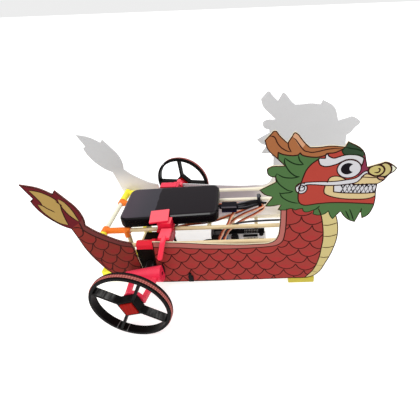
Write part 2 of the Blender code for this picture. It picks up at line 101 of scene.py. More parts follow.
def relief(tree, shader, height, **inputs):
    """Bump from a height socket, with its strength and its distance in metres."""
    bump = put(tree, "Bump", Height=height, **inputs)
    tree.links.new(bump.outputs["Normal"], shader.inputs["Normal"])


WHITE = (1.0, 1.0, 1.0, 1)
paper, tree, shader = finish("white_paper", Base_Color=(0.72, 0.72, 0.72, 1), Roughness=0.9,
                             Specular_IOR_Level=0.0, Emission_Color=WHITE, Emission_Strength=0.62)
relief(tree, shader, put(tree, "TexNoise", Scale=40.0, Detail=3.0).outputs["Fac"], Strength=0.03)
FLOOR_LEVEL = -0.0002
sheet = bpy.data.meshes.new("studio_floor")
sheet.from_pydata([(x, y, FLOOR_LEVEL) for x, y in ((-6, -6), (6, -6), (6, 6), (-6, 6))], [], [(0, 1, 2, 3)])
sheet.materials.append(paper)
floor = bpy.data.objects.new("studio_floor", sheet)
bpy.context.scene.collection.objects.link(floor)

world = bpy.data.worlds.new("white_room")
world.use_nodes = True
world.node_tree.nodes["Background"].inputs["Color"].default_value = WHITE
world.node_tree.nodes["Background"].inputs["Strength"].default_value = 0.85
bpy.context.scene.world = world
bpy.context.scene.view_settings.view_transform = 'Standard'
LAMPS = (("key_lamp", (-0.35, -0.55, 1.30), 0.9, 8.0), ("back_lamp", (0.5, 0.9, 0.9), 0.6, 3.0))
for name, place, width, power in LAMPS:
    lamp = bpy.data.lights.new(name, 'AREA')
    lamp.size = width
    lamp.energy = power
    holder = bpy.data.objects.new(name, lamp)
    holder.location = place
    holder.rotation_euler = (Vector((0, 0, 0.06)) - Vector(place)).to_track_quat('-Z', 'Y').to_euler()
    bpy.context.scene.collection.objects.link(holder)


# Side panels: stiff 1.8 mm card, pale grey and faintly mottled, with its cut edges stained by the print. Its
# grey is painted darker towards the tail, painted shade, and low down it is painted with light bounced up
# from
# the floor: paler and warmer towards stern and bow, a little darker and pinker amidships. The drawing is flat
# inks with brown outlines, a thin sheet on each outer face.
nodes = frame["nodes"]
BOTH = (("right", -1), ("left", 1))
MM = 0.001


def limits(node):
    """A CAD node's lowest and highest corner at rest, in millimetres."""
    return np.array(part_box(node)) / MM


def shared(name, takes, gives):
    """A node group with its way in and its way out. Takes and gives pair each socket's name with its kind."""
    group = bpy.data.node_groups.new(name, "ShaderNodeTree")
    for way, sockets in (("INPUT", takes), ("OUTPUT", gives)):
        for label, kind in sockets.items():
            group.interface.new_socket(label, in_out=way, socket_type="NodeSocket" + kind)
    return group, group.nodes.new("NodeGroupInput").outputs, group.nodes.new("NodeGroupOutput").inputs


def calc(tree, operation, *terms):
    """The result of one sum on sockets or numbers."""
    inputs = {f"i{k}": term for k, term in enumerate(terms)}
    return put(tree, "Math", {"operation": operation}, **inputs).outputs[0]


def noise(tree, place, scale, detail=2.0, **inputs):
    """The value of a noise pattern."""
    return put(tree, "TexNoise", Vector=place, Scale=scale, Detail=detail, **inputs).outputs["Fac"]


def scaled(tree, colour, gain):
    """A colour times a number."""
    return put(tree, "VectorMath", {"operation": "SCALE"}, i0=colour, Scale=gain).outputs[0]


def spot(tree, axis, kind="Object"):
    """A point's place along an axis of the part, in metres, or, by kind Normal, how far it faces that way."""
    where = put(tree, "TexCoord").outputs[kind]
    return put(tree, "SeparateXYZ", Vector=where).outputs[axis]


def step(tree, value, low, high):
    """A smooth rise from 0 to 1 between two values."""
    return put(tree, "MapRange", {"interpolation_type": "SMOOTHSTEP"}, Value=value, From_Min=low,
               From_Max=high).outputs[0]


def tone(tree, mask, first, second):
    """The colour of a mix: first where the mask is 0, second where it is 1."""
    return put(tree, "Mix", {"data_type": "RGBA"}, i0=mask, i6=first, i7=second).outputs[2]


def speck_group():
    """Fine mottle: a broad and a fine noise, summed about zero, tint a colour and move its gloss."""
    group, given, out = shared(
        "surface_mottle", {"Vector": "Vector", "Colour": "Color", "Depth": "Float", "Broad Scale": "Float",
                           "Fine Scale": "Float", "Roughness": "Float"},
        {"Colour": "Color", "Roughness": "Float", "Height": "Float"})
    fine = noise(group, given["Vector"], given["Fine Scale"])
    both = calc(group, "ADD", noise(group, given["Vector"], given["Broad Scale"], 4.0), fine)
    centred = calc(group, "SUBTRACT", both, 1.0)
    gain = calc(group, "MULTIPLY_ADD", centred, given["Depth"], 1.0)
    group.links.new(scaled(group, given["Colour"], gain), out["Colour"])
    group.links.new(calc(group, "MULTIPLY_ADD", centred, 0.15, given["Roughness"]), out["Roughness"])
    group.links.new(fine, out["Height"])
    return group


MOTTLE = speck_group()


def covered(name, group, inputs, mapping, bump, distance, **values):
    """A material that a shared group colours, on Object coordinates that the mapping turns or scales."""
    mat, tree, shader = finish(name, **values)
    where = put(tree, "TexCoord").outputs["Object"]
    laid = put(tree, "Mapping", Vector=where, **mapping).outputs[0]
    work = put(tree, "Group", {"node_tree": group}, Vector=laid, **inputs).outputs
    tree.links.new(work["Colour"], shader.inputs["Base Color"])
    if "Roughness" in work:
        tree.links.new(work["Roughness"], shader.inputs["Roughness"])
    relief(tree, shader, work["Height"], Strength=bump, Distance=distance)
    return mat, tree, shader


def mottled(name, colour, roughness, depth=0.15, broad=30.0, fine=900.0, bump=0.1, gloss=0.15):
    """A material with the mottle group."""
    inputs = {"Colour": (*colour, 1), "Depth": depth, "Broad_Scale": broad, "Fine_Scale": fine,
              "Roughness": roughness}
    return covered(name, MOTTLE, inputs, {}, bump, distance=0.0002, Specular_IOR_Level=gloss)


def recolour(tree, colour):
    """Feeds a colour into the shared group of a material."""
    tree.links.new(colour, tree.nodes["Group"].inputs["Colour"])


def dress(material, *names):
    """Gives CAD nodes their finished material."""
    for name in names:
        slots = nodes[name].data.materials
        slots.clear()
        slots.append(material)


CARD_GREY = (0.56, 0.56, 0.565, 1)
# Painted light on the card: the darker grey towards the tail is painted shade, and the low tones are painted
# light bounced up from the floor.
TAIL_SHADE_GREY = (0.485, 0.483, 0.487, 1)
LOW_BOUNCE_LIGHT = {"stern": (0.77, 0.73, 0.70, 1), "middle": (0.54, 0.48, 0.52, 1), "bow": (0.84, 0.80, 0.78, 1)}
EDGE_CREAM, EDGE_STAIN = (0.72, 0.63, 0.44, 1), (0.16, 0.045, 0.035, 1)
CARD, tree, shader = mottled("foam_card", CARD_GREY[:3], 0.62, depth=0.07, broad=18.0, fine=700.0)
x, y, z = (spot(tree, axis) for axis in "XYZ")
face_tone = tone(tree, step(tree, x, -0.120, -0.150), CARD_GREY, TAIL_SHADE_GREY)
bounce_tone = tone(tree, step(tree, x, 0.045, 0.075), LOW_BOUNCE_LIGHT["middle"], LOW_BOUNCE_LIGHT["bow"])
bounce_tone = tone(tree, step(tree, x, -0.060, -0.090), bounce_tone, LOW_BOUNCE_LIGHT["stern"])
face_tone = tone(tree, step(tree, z, 0.122, 0.086), face_tone, bounce_tone)
edge_tone = tone(tree, calc(tree, "LESS_THAN", x, -0.106), EDGE_CREAM, EDGE_STAIN)
edge_tone = tone(tree, step(tree, y, 0.0, 0.01), edge_tone, CARD_GREY)
cut_edge = calc(tree, "LESS_THAN", calc(tree, "ABSOLUTE", spot(tree, "Y", "Normal")), 0.5)
recolour(tree, tone(tree, cut_edge, face_tone, edge_tone))
dress(CARD, "side_panel_right", "side_panel_left")

# The inks stern and stern_heart are darker copies of scale and heart: painted shade towards the stern.
INKS = {
    "scale": (0.298, 0.038, 0.032), "heart": (0.332, 0.033, 0.031), "stern": (0.200, 0.026, 0.018),
    "stern_heart": (0.225, 0.021, 0.018), "rose": (0.375, 0.118, 0.100), "stern_rose": (0.13, 0.030, 0.027),
    "belly": (0.51, 0.424, 0.185), "flame": (0.118, 0.009, 0.013), "flame_tan": (0.365, 0.239, 0.071),
    "mane": (0.061, 0.133, 0.044), "tuft": (0.027, 0.053, 0.027), "horn": (0.303, 0.112, 0.042),
    "horn_tip": (0.505, 0.266, 0.151), "face": (0.365, 0.047, 0.033), "white": (0.52, 0.51, 0.53),
    "lip": (0.546, 0.424, 0.218), "nose": (0.456, 0.384, 0.143), "nostril": (0.45, 0.38, 0.16),
    "cheek": (0.19, 0.025, 0.055), "blush": (0.38, 0.20, 0.12), "black": (0.006, 0.004, 0.006),
    "brown": (0.028, 0.006, 0.004), "leaf_line": (0.006, 0.020, 0.005), "maroon": (0.040, 0.006, 0.005),
    "pale_tip": (0.62, 0.64, 0.50), "bistre": (0.06, 0.032, 0.008),
}


def bend(points, per=5):
    """A smooth line through given points: each span is the Catmull-Rom cubic of four points in a row."""
    p = np.asarray(points, float)
    if len(p) < 3:
        return p
    loop = np.allclose(p[0], p[-1])
    k = np.vstack([p[-2] if loop else 2 * p[0] - p[1], p, p[1] if loop else 2 * p[-1] - p[-2]])
    a, b, c, d = (k[i:len(k) - 3 + i][:, None, :] for i in range(4))
    t = (np.arange(per) / per)[None, :, None]
    q = 0.5 * (2 * b + (c - a) * t + (2 * a - 5 * b + 4 * c - d) * t * t + (3 * b - a - 3 * c + d) * t ** 3)
    return np.vstack([q.reshape(-1, p.shape[1]), p[-1:]])


def runs(*items):
    """Smooth runs that meet at corners: a list goes on from the point before it, and a lone point is a corner
    that is reached by a straight line."""
    found, last = [], None
    for item in items:
        run = list(item) if isinstance(item, list) else [item]
        if last and run[0] != last:
            run.insert(0, last)
        last = run[-1]
        if len(run) > 1:
            found.append(run)
    return found


def shape(*items):
    """A closed outline from smooth runs and corners."""
    return np.vstack([bend(run) for run in runs(*items)])


def oval(x, z, rx, rz, turn=0.0, start=0.0, end=360.0, count=33):
    """Points of an ellipse between two angles: centre plus radii times cosine and sine, turned as a whole."""
    a = np.radians(np.linspace(start, end, count))
    c, s = math.cos(math.radians(turn)), math.sin(math.radians(turn))
    u, v = rx * np.cos(a), rz * np.sin(a)
    return np.c_[x + u * c - v * s, z + u * s + v * c]


def outline_of(node, y, merge=1e-6, slack=1e-5):
    """The corner points, in order, of a flat node's face at that Y, in millimetres."""
    bm = bmesh.new()
    bm.from_mesh(nodes[node].data)
    bmesh.ops.remove_doubles(bm, verts=bm.verts, dist=merge)
    away = [f for f in bm.faces if any(abs(v.co.y - y * MM) > slack for v in f.verts)]
    bmesh.ops.delete(bm, geom=away, context='FACES')
    whole = bmesh.ops.dissolve_faces(bm, faces=bm.faces[:])["region"]
    ring = np.array([(v.co.x, v.co.z) for v in whole[0].verts]) / MM
    bm.free()
    return ring


def inside(points, ring):
    """True where a point lies in a closed outline: its ray towards +X crosses an odd number of edges."""
    a, b = ring, np.roll(ring, -1, axis=0)
    px, pz = points[:, 0:1], points[:, 1:2]
    above = (a[None, :, 1] > pz) != (b[None, :, 1] > pz)
    rise = np.where(b[:, 1] == a[:, 1], 1.0, b[:, 1] - a[:, 1])
    cross = (b[:, 0] - a[:, 0])[None] * (pz - a[None, :, 1]) / rise[None] + a[None, :, 0]
    return (np.sum(above & (px < cross), axis=1) % 2) == 1


def near(points, line, half):
    """True where a point is closer to the line than half its width there."""
    a, b = line[:-1], line[1:]
    ab = b - a
    t = np.einsum("ijk,jk->ij", points[:, None] - a[None], ab) / np.maximum((ab ** 2).sum(1), 1e-9)
    t = np.clip(t, 0, 1)
    gap = np.linalg.norm(points[:, None] - (a[None] + t[..., None] * ab[None]), axis=2)
    wide = half[:-1][None] * (1 - t) + half[1:][None] * t
    return np.any(gap < wide, axis=1)


def stroke(points, width, taper=False, per=5):
    """An ink line: its smooth course and its half width at each point. A tapered one thins over a sixth of
    its length to a third of its width at both ends."""
    line = bend(points, per)
    run = np.linspace(0, 1, len(line))
    half = np.full(len(line), width / 2)
    if taper:
        half *= 0.35 + 0.65 * np.clip(np.minimum(run, 1 - run) * 6, 0, 1)
    return line, half


# Scale edges along the hull: how deep each row's arcs hang, and the cusps that they hang between
SCALE_ROWS = (
    (9.3, [(-98, 71), (-72, 71.5), (-46.2, 71.5), (-20.3, 70.6), (5.6, 69.8), (29.2, 69), (54.9, 68.4),
           (83.4, 67.5)]),
    (13.0, [(-85, 62), (-59.8, 61.2), (-34.5, 60.6), (-8.8, 60.8), (16.7, 60), (42, 57.9), (68.3, 54.4)]),
    (13.2, [(-98, 49.5), (-73.5, 48.6), (-48.3, 47.8), (-22.4, 47.2), (2.9, 46.7), (28.8, 45.4),
            (54.1, 43.8), (80.4, 40.6)]),
    (12.2, [(-86, 36), (-61.6, 34.4), (-36.9, 33.6), (-11.6, 34), (13.6, 33), (40, 32), (65.2, 30.4)]),
    (11.5, [(-98, 24), (-74.5, 22.8), (-50.3, 22.3), (-24.3, 21.7), (1.2, 21.2), (26.1, 20), (52.2, 18.8),
            (78.5, 17.2)]),
    (6.0, [(-86, 11.5), (-62, 11), (-37, 10.5), (-11, 10), (13, 9), (39, 8), (65, 7), (92, 6)]),
)
# Scale edges drawn one by one in the neck and the stern, where they turn with the body
SCALE_ARCS = (
    [(101.8, 130.4), (103.8, 125.8), (108.9, 121.7), (115.2, 120.5), (121.7, 121.9), (126.2, 124.8)],
    [(113.4, 118.9), (111.7, 112.9), (106.8, 108.7), (99.3, 106.9), (95.4, 106.4)],
    [(113.4, 118.9), (115.5, 112.8), (120.8, 108), (127.3, 105.9), (134.2, 107.2), (140.6, 110.9)],
    [(98.6, 106.3), (97.8, 102.5), (94.3, 99.5)],
    [(98.6, 106.3), (101.7, 98.8), (107, 94), (113, 92.2), (119.6, 94.3), (125.1, 99.4), (127.6, 104.2)],
    [(127.6, 104.2), (130.3, 97.6), (135.1, 94.1), (141, 92.6)],
    [(112.1, 91), (109.2, 85.5), (105.1, 81), (98.6, 78.9), (91.3, 81.6)],
    [(112.1, 91), (115.5, 84), (120.3, 79.3), (126.8, 77.6), (134.1, 79.7), (139, 84.2), (142.3, 88.7)],
    [(98.3, 77.8), (94.7, 71.5), (88.8, 69), (84.1, 70.6)],
    [(98.3, 77.8), (101.6, 71.9), (106.1, 67.6), (111.8, 65.7), (119, 67), (124, 71.5), (126.3, 76)],
    [(126.3, 76), (129.4, 69.9), (133.6, 66.2), (138.4, 64.4), (142.4, 64.3)],
    [(83.4, 68.2), (86.1, 61.6), (91.4, 56.2), (98.2, 54), (105.4, 56), (109.7, 60.1), (111.4, 64)],
    [(111.4, 64), (116, 55.3), (124, 50.9), (133.1, 53.1), (140.7, 60.5)],
    [(68.3, 54.4), (72.5, 46.6), (81.2, 41.8), (90.3, 45.3), (96, 52.6)],
    [(96, 52.6), (100.6, 45.8), (109.6, 40.4), (118.8, 41.4), (124, 49.8)],
    [(124, 49.8), (127.5, 42.7), (134.8, 36.9), (139.5, 37)],
    [(80.4, 40.6), (85.6, 33.6), (95, 28.9), (103.7, 30.9), (108.4, 37.2)],
    [(108.4, 37.2), (113.9, 29.2), (122.1, 25.2), (131.2, 28.1), (136, 33)],
    [(65.2, 30.4), (69.4, 22.6), (78.6, 17.2), (86.4, 19.1), (92.1, 27.5)],
    [(92.1, 27.5), (96.2, 20.4), (105.6, 14.6), (115.2, 16.6), (120.6, 24)],
    [(120.6, 24), (123.9, 17.7), (131, 16)], [(78.6, 17.2), (80.7, 11.1), (86.4, 6.7)],
    [(105.6, 14.2), (110, 8.7), (115.9, 5.4)],
    [(-164.6, 109), (-167, 102.3), (-170.7, 98.9), (-174.3, 97.7), (-177, 99.9)],
    [(-152.2, 97.9), (-153.6, 91.4), (-158.4, 86.6), (-163.8, 86.6), (-169.1, 89.9), (-173, 95)],
    [(-158.4, 86.6), (-157.8, 80.8), (-154.4, 77.4), (-149.4, 75.3), (-144, 76.5), (-139.9, 81.2),
     (-137.7, 88.2)],
    [(-147.7, 75.1), (-144.6, 68.7), (-138.5, 65), (-131.3, 66.3), (-126.6, 71.7), (-124, 80.2)],
    [(-124, 80.2), (-122.7, 74), (-118.9, 68.2), (-112.5, 66.7), (-108, 70.4), (-104.6, 77)],
    [(-159.2, 86.4), (-162.5, 77.3), (-167.1, 72.3), (-169.5, 74.4), (-171.5, 82)],
    [(-167.1, 72.3), (-165.3, 65.9), (-161.5, 61), (-155.9, 59.7), (-151.8, 64.3), (-148.6, 73)],
    [(-155.9, 59.7), (-152.7, 54.4), (-147.5, 50.8), (-141.3, 50.9), (-135.8, 54.9), (-133, 64.5)],
    [(-133.2, 63), (-130.6, 57.5), (-125.6, 53.2), (-119.6, 52.7), (-113.3, 55.9), (-109.3, 66)],
    [(-109.3, 66), (-107.5, 60.8), (-104.1, 57.6)],
    [(-155.9, 59.7), (-156.5, 55.4), (-160, 56.6), (-163.5, 60.2)],
    [(-156.5, 55.4), (-156, 49.5), (-152.8, 42.8), (-148.4, 38.6), (-144.6, 42.7), (-142.5, 50.3)],
    [(-142.5, 50.3), (-139.1, 45.1), (-134.4, 40.7), (-128.6, 39.4), (-123.4, 42.8), (-119.9, 51.9)],
    [(-119.9, 51.9), (-118.2, 47.6), (-114, 43.7), (-108.3, 41.7), (-104.5, 44.6), (-101.8, 52.3)],
    [(-144.6, 42.7), (-145.3, 36.3), (-140, 32.6), (-133.2, 31.7), (-129.6, 35.5), (-128.6, 39.4)],
    [(-128.6, 39.4), (-127.2, 33.8), (-120.8, 31.3), (-111.7, 33.6), (-105.8, 40.9)],
    [(-133.2, 31.7), (-131, 25), (-122, 21), (-114, 24), (-111, 31)],
    [(-111, 31), (-107, 24), (-99, 21.5), (-92, 25), (-86, 36)], [(-122, 21), (-118, 15), (-110, 11)],
    [(-99, 21.5), (-94, 15), (-86, 11.5)],
)
SCALE_HALF = 0.72


def scale_lines():
    """Scale edges and half widths: a row's arc is its chord less its depth times 1 - |2t - 1| to the 2.5."""
    t = np.linspace(0, 1, 15)
    hang = (1 - np.abs(2 * t - 1) ** 2.5)[:, None] * np.array([[0.0, 1.0]])
    lines = [bend(arc) for arc in SCALE_ARCS]
    for depth, cusps in SCALE_ROWS:
        p = np.array(cusps, float)
        lines += [a + (b - a) * t[:, None] - depth * hang for a, b in zip(p[:-1], p[1:])]
    return [(line, np.full(len(line), SCALE_HALF)) for line in lines]


def scale_hearts(least_chord=14, least_drop=5, long=0.27, high=0.3, sink=0.47, stern_end=-92):
    """A redder oval in each full scale: its half length and height are parts of the scale's chord and drop,
    and it lies a part of the way from the chord's middle to the arc's foot."""
    arcs = [(np.array(arc[0]), np.array(arc[-1]), np.array(arc)) for arc in SCALE_ARCS]
    for depth, cusps in SCALE_ROWS:
        p = np.array(cusps, float)
        arcs += [(a, b, np.array([a, (a + b) / 2 - (0, depth), b])) for a, b in zip(p[:-1], p[1:])]
    hearts = []
    for a, b, points in arcs:
        chord, middle = b - a, (a + b) / 2
        length = np.hypot(*chord)
        drops = np.abs(np.cross(chord, points - a)) / length
        if length > least_chord and drops.max() > least_drop:
            at = middle + sink * (points[np.argmax(drops)] - middle)
            tilt = math.degrees(math.atan2(chord[1], chord[0]))
            heart = oval(*at, long * length, high * drops.max(), tilt, count=17)
            # Hearts towards the stern take the darker ink: painted shade.
            hearts.append(("stern_heart" if at[0] < stern_end else "heart", heart))
    return hearts


# Courses of the drawing, from stern to snout
BAND_LOW = [(-122.5, 80.8), (-106, 77.6), (-85, 76.5), (-63.5, 75), (-46, 74), (-21, 71), (14.5, 69.3),
            (45, 69.5), (71, 71), (83, 73.5), (90, 80), (92.8, 92), (94.2, 108), (94.6, 132)]
STERN_LOW = [(-166, 120.5), (-165.2, 113), (-164.6, 109.3), (-158.6, 102.9), (-152.2, 97.8), (-145, 92.8),
             (-137.5, 88.5), (-130, 84.5), (-122.5, 80.8)]
BELLY_LEFT = [(134, 130), (138, 119.5), (140.5, 107.5), (142.5, 92.5), (143, 79), (142, 66), (140.5, 50.5),
              (137.5, 36.5), (133, 25), (127.5, 17), (121, 9)]
MANE_LOW = runs([(83, 131), (88.5, 130.2), (94, 130)], [(98, 132), (102, 131.5), (105, 129.5)],
                [(109.5, 131), (114, 131.5)], [(116, 127), (121, 126), (128.5, 129)], (127.5, 122.5),
                [(134, 120.5), (141.5, 122), (146.5, 126.5)], [(149, 119.5), (152.5, 114)],
                [(155.5, 118), (160, 124)])
HORN_LOW = runs((83.5, 200), (84, 209), [(87.5, 207), (92, 205.5), (100, 204.3), (106, 204.8)],
                (108.5, 207.5), [(111, 204.5), (118, 202.3), (126.5, 201.3), (132.5, 202)], (136.8, 203.5),
                [(138.5, 205.5), (146, 206), (151.5, 208), (156, 210.5)])
FACE_EDGE = runs([(130, 199.5), (127, 197), (121.5, 192.5), (116.5, 185.5), (113.5, 177.5), (111, 168)],
                 (108, 153),
                 [(108.3, 145), (110.5, 139.5), (115, 136.6), (121, 136.3), (131.5, 137.8), (150, 138.8),
                  (172.5, 137.5), (203, 134.5)])
BROW = runs([(129.5, 198), (130.3, 199.8), (137, 199.6)], (136.8, 203), (138.7, 205.8),
            [(140.7, 202.4), (144, 200.2), (147.5, 199.5), (152, 200.8), (157.5, 202.5), (163.5, 203.2),
             (171.5, 202.5), (177, 200.5), (180.5, 198)], [(180.3, 193.5), (179.3, 188.5)],
            [(174, 194), (169, 196.6), (162, 197), (156.5, 194.8), (151.5, 192), (147, 190.5), (142, 189.2),
             (136.5, 189.2), (131.5, 191.8), (129.5, 197)])
LIP_TOP = runs([(181, 172), (184, 176.3), (187, 177.5), (191.5, 176), (199, 172.5)],
               [(201, 169.5), (207, 168.5)], [(203, 163.8), (190.5, 163.6), (181.5, 163.3), (172, 164)],
               [(178, 167.3), (181, 172)])
LIP_BULGE = [(141.5, 167.5), (143.5, 173), (146.5, 175.4), (151.5, 176), (156.5, 174.8), (163, 171),
             (160, 167)]
LIP_LOW = runs([(139.6, 164), (138.6, 156), (141, 151.2), (150, 147), (162.5, 144), (175, 142.8),
                (187.5, 142.5), (196.5, 144), (203, 148)], (206, 160), (139.6, 165))
TEETH = runs((149.5, 164), (150.3, 154.3), [(160, 152.7), (171, 151.8), (189, 151), (204, 151.8)],
             (206, 164), [(190, 163.3), (181.5, 163), (170.5, 164.3), (149.5, 164)])
WHISKER_TOP = [(191, 181.8), (187, 181.8), (183.5, 180.8), (180.8, 178.4), (178.3, 175.6), (175.2, 173),
               (170.5, 171.4), (162.5, 170.3), (154, 169.2), (145, 168.8), (134.5, 169.1), (122.5, 169.1),
               (115.5, 168.6), (109.5, 166.8), (106, 163.8)]
WHISKER_LOW = [(191, 178.3), (186, 178.2), (182.8, 175.5), (180.4, 171.3), (177.3, 167.6), (173, 165.6),
               (166.5, 164.5), (157.5, 163.6), (148.5, 163.4), (139.5, 163.8), (126, 165.3), (118, 165.4),
               (112, 162)]
FLAME_BIG = runs([(-210.5, 171), (-204, 170.2), (-197.5, 168), (-192.5, 165), (-187.5, 161.3), (-183.5, 157),
                  (-180.8, 151)],
                 [(-180.3, 147.8), (-181.3, 140.5), (-181.3, 132.5), (-181, 125), (-180.5, 118)],
                 [(-188, 120), (-193.5, 124), (-198.5, 129.5), (-203, 136), (-206.3, 142.5),
                  (-207.5, 150.5)], (-202.3, 149), [(-203, 154), (-205, 159), (-210.5, 171)])
FLAME_SMALL = runs([(-180.3, 157.5), (-176, 155), (-172.5, 150), (-170, 144.5), (-167.8, 137.5),
                    (-166.3, 130), (-165.3, 122.5)],
                   [(-169.5, 126.3), (-173.5, 131.3), (-176, 135.5), (-178, 140.5), (-179.7, 145.5),
                    (-180.7, 151)], (-180.3, 157.5))
TUFT_LOW = [(154.7, 208), (157.5, 203.8), (163.5, 203.2), (170.5, 203), (176, 201.5), (180.8, 198)]
NOSE = [(187.7, 181.6), (188.6, 185.2), (191.8, 187.6), (196.4, 188.9), (201.2, 188.2), (204.9, 185.4),
        (206.3, 181.6), (205, 177.8), (201.2, 174.9), (196.6, 174.3), (191.8, 176.2), (188.6, 179.0),
        (187.7, 181.6)]
NOSTRIL = [(200.4, 188.6), (202.9, 190.6), (206.4, 191.2), (210.6, 189.2), (213.6, 184.9), (214.2, 180.1),
           (212.3, 175.9), (209, 173.4), (202.6, 172.4), (195.5, 173.5), (199.9, 182), (200.4, 188.6)]
NOSE_SPOT = [(199.1, 172.8), (202.4, 173.7), (206.5, 173.3), (209.7, 171.8), (208.3, 169.4), (205.6, 168.6),
             (202.2, 169.4), (199.1, 172.8)]
EYE = (165.3, 184.8, 13.8, 11.8, -4)
WHISKER_KNOB = (111.5, 160.8, 6.9, 7.4)

# Filled areas in the order they are laid down, each over the last; what runs past the card's edge is trimmed
AREAS = [
    ("stern", shape([(-95, -5), (-88, 45), (-92, 130)], (-260, 130), (-260, -5))),
    *scale_hearts(),
    ("flame", shape((-235, 190), (-150, 190), (-156, 117), [(-165.5, 120.5), (-178, 113)],
                    [(-200, 100), (-235, 150)])),
    ("rose", shape(STERN_LOW, BAND_LOW, (94.6, 132), (70, 132), (70, 95), (-90, 100),
                   [(-150, 125), (-160, 128)])),
    ("stern_rose", shape(STERN_LOW, [(-106, 77.6), (-92, 76.7)], (-92, 130), [(-150, 125), (-160, 128)])),
    ("flame_tan", shape(*FLAME_BIG)), ("flame_tan", shape(*FLAME_SMALL)),
    ("belly", shape(BELLY_LEFT, (150, 4), (185, 60), (160, 121), (134, 130))),
    ("mane", shape(*MANE_LOW, (163, 100), (215, 105), (215, 150), (130, 160), (140, 212), (50, 215),
                   (50, 131), (83, 131))),
    ("face", shape(*FACE_EDGE, (230, 136), (230, 204), (184, 204), (160, 215), (136, 212), (130, 199.5))),
    ("horn", shape(*HORN_LOW, (158.5, 213.8), (150, 240), (60, 245), (60, 195), (83.5, 200))),
    ("horn_tip", shape([(99.5, 227.5), (102.2, 223.5), (104.8, 219), (107.6, 215), (110.5, 213)], (114, 218),
                       (100, 236), (99.5, 227.5))),
    ("tuft", shape(TUFT_LOW, (200, 200), (170, 232), (156, 222), (158, 213), [(154.7, 210.5), (154.7, 208)])),
    ("cheek", shape([(179.5, 201.5), (184.5, 199), (188.5, 192), (190, 183)], [(184, 179), (176.5, 173.5)],
                    [(176, 186), (179.5, 201.5)])),
    ("white", shape(*BROW)), ("white", oval(*EYE)),
    ("black", oval(163.6, 185.2, 7.9, 7.4)), ("white", oval(169.9, 185.7, 4.3, 4.6)),
    ("lip", bend(LIP_BULGE)), ("lip", shape(*LIP_LOW)), ("lip", shape(*LIP_TOP)),
    ("white", shape(*TEETH)),
    ("white", np.vstack([bend(WHISKER_TOP), bend(WHISKER_LOW[::-1])])), ("white", oval(*WHISKER_KNOB)),
    ("pale_tip", shape([(212.5, 189), (216.4, 187.9), (221.6, 183.5)], [(217.5, 179.4), (213.1, 175.6)])),
    ("nostril", bend(NOSTRIL)), ("nose", bend(NOSE)), ("blush", bend(NOSE_SPOT)),
]

# Outlines drawn last, in the inks of the parts they edge: ink, width, whether the ends thin, and courses
LINES = [(ink, *stroke(course, width, thin)) for ink, width, thin, courses in (
    ("brown", 1.5, False, [
        BAND_LOW, BELLY_LEFT, WHISKER_TOP[1:], WHISKER_LOW[1:], LIP_BULGE[:6], LIP_LOW[0], oval(*EYE),
        oval(*WHISKER_KNOB, 0, 60, 400),
        [(181, 172), (184, 176.3), (187, 177.5), (191.5, 176), (196, 173.7)]]),
    ("brown", 2.1, False, [NOSTRIL[:8]]), ("brown", 2.2, False, [NOSE]), ("black", 1.6, False, [NOSE_SPOT]),
    ("black", 2.6, True, [[(212.9, 188.9), (216.5, 187.5), (220.9, 183.4)]]),
    ("brown", 1.9, True, [[(198.5, 184.4), (200.4, 183.6), (201, 181.5), (199.4, 179), (194.9, 178.8)]]),
    ("brown", 1.3, False, [[(180.3, 173.7), (187.4, 173), (194.5, 172.2), (199.7, 172.2)]]),
    ("black", 2.4, False, [[(208, 172.1), (210.2, 170.7)]]),
    ("brown", 1.6, False, HORN_LOW + FACE_EDGE + BROW + TEETH[:2] + LIP_TOP[2:3]),
    ("brown", 2.0, False, [STERN_LOW]),
    ("brown", 1.4, True, [
        [(74.5, 228.5), (77.5, 228.5), (80.5, 226.5), (83, 220.5), (86.5, 215.5), (90, 212.5), (94.5, 210),
         (98.5, 209)],
        [(95, 222.5), (95, 217), (96.5, 212.5), (98.5, 209)],
        [(100, 226), (103, 223.5), (106, 219), (109.5, 214), (113, 210), (117, 208.5), (122, 207.5),
         (129, 208.5), (137, 210.3), (146.5, 211.3), (155, 210.5)]]),
    ("leaf_line", 1.6, True, [
        [(91.5, 202), (91, 197), (92.5, 192), (95.5, 186.5), (99, 182), (104, 178), (109, 177)],
        [(91.5, 202), (94.5, 199), (99.5, 195.5), (104, 193.5), (109.5, 192.5), (113, 193)],
        [(106.5, 204.5), (107.5, 200), (109, 197), (113, 192.5)],
        [(109, 177), (104.5, 176), (98.5, 175.5), (90, 177), (82.5, 182)],
        [(82.5, 182), (81, 178), (82.5, 172.5), (85.5, 167.5), (90.5, 162.5), (96, 158.5), (102, 157)],
        [(102, 157), (98, 155.5), (93, 155), (87, 154.5), (85.5, 156)],
        [(86, 155.5), (87.5, 151), (91, 147), (97, 143), (103.5, 140.5), (109.5, 139.5)],
        [(158, 212.5), (165, 210.5), (171, 209.5), (175.5, 207.5), (177, 206)],
        [(135, 134.5), (131.5, 130.5), (128.5, 129)], [(172.4, 128.2), (175.8, 120.4), (179.6, 110)],
        [(167.7, 126.1), (171.8, 117.4), (174.2, 112.6)], [(187.1, 129.1), (186.9, 121.4), (188.4, 114.4)]]),
    ("leaf_line", 1.2, False, MANE_LOW),
    ("leaf_line", 1.3, False, [TUFT_LOW, [(158, 213), (154.7, 208)]]),
    ("brown", 1.6, True, [
        *FLAME_BIG[:3], FLAME_BIG[4], *FLAME_SMALL[:2],
        [(-207, 151), (-202, 148.8), (-198, 144.5), (-194, 141.5), (-190.5, 138.3)],
        [(-184, 154.5), (-180.3, 150), (-179, 147.5)],
        [(-178, 113), (-170, 113.5), (-165.5, 111), (-166.5, 104)]]),
    ("bistre", 1.4, True, [
        [(141, 104.3), (149.5, 104), (160.5, 107.8)], [(143, 85.7), (152, 85.5), (162.5, 88.8)],
        [(142.5, 66.7), (151, 66), (160, 68.7)], [(141, 49.3), (147, 48.2), (155.5, 49.3)],
        [(137.5, 33.8), (150, 33)], [(132, 22.7), (143, 19.5)]]),
) for course in courses]
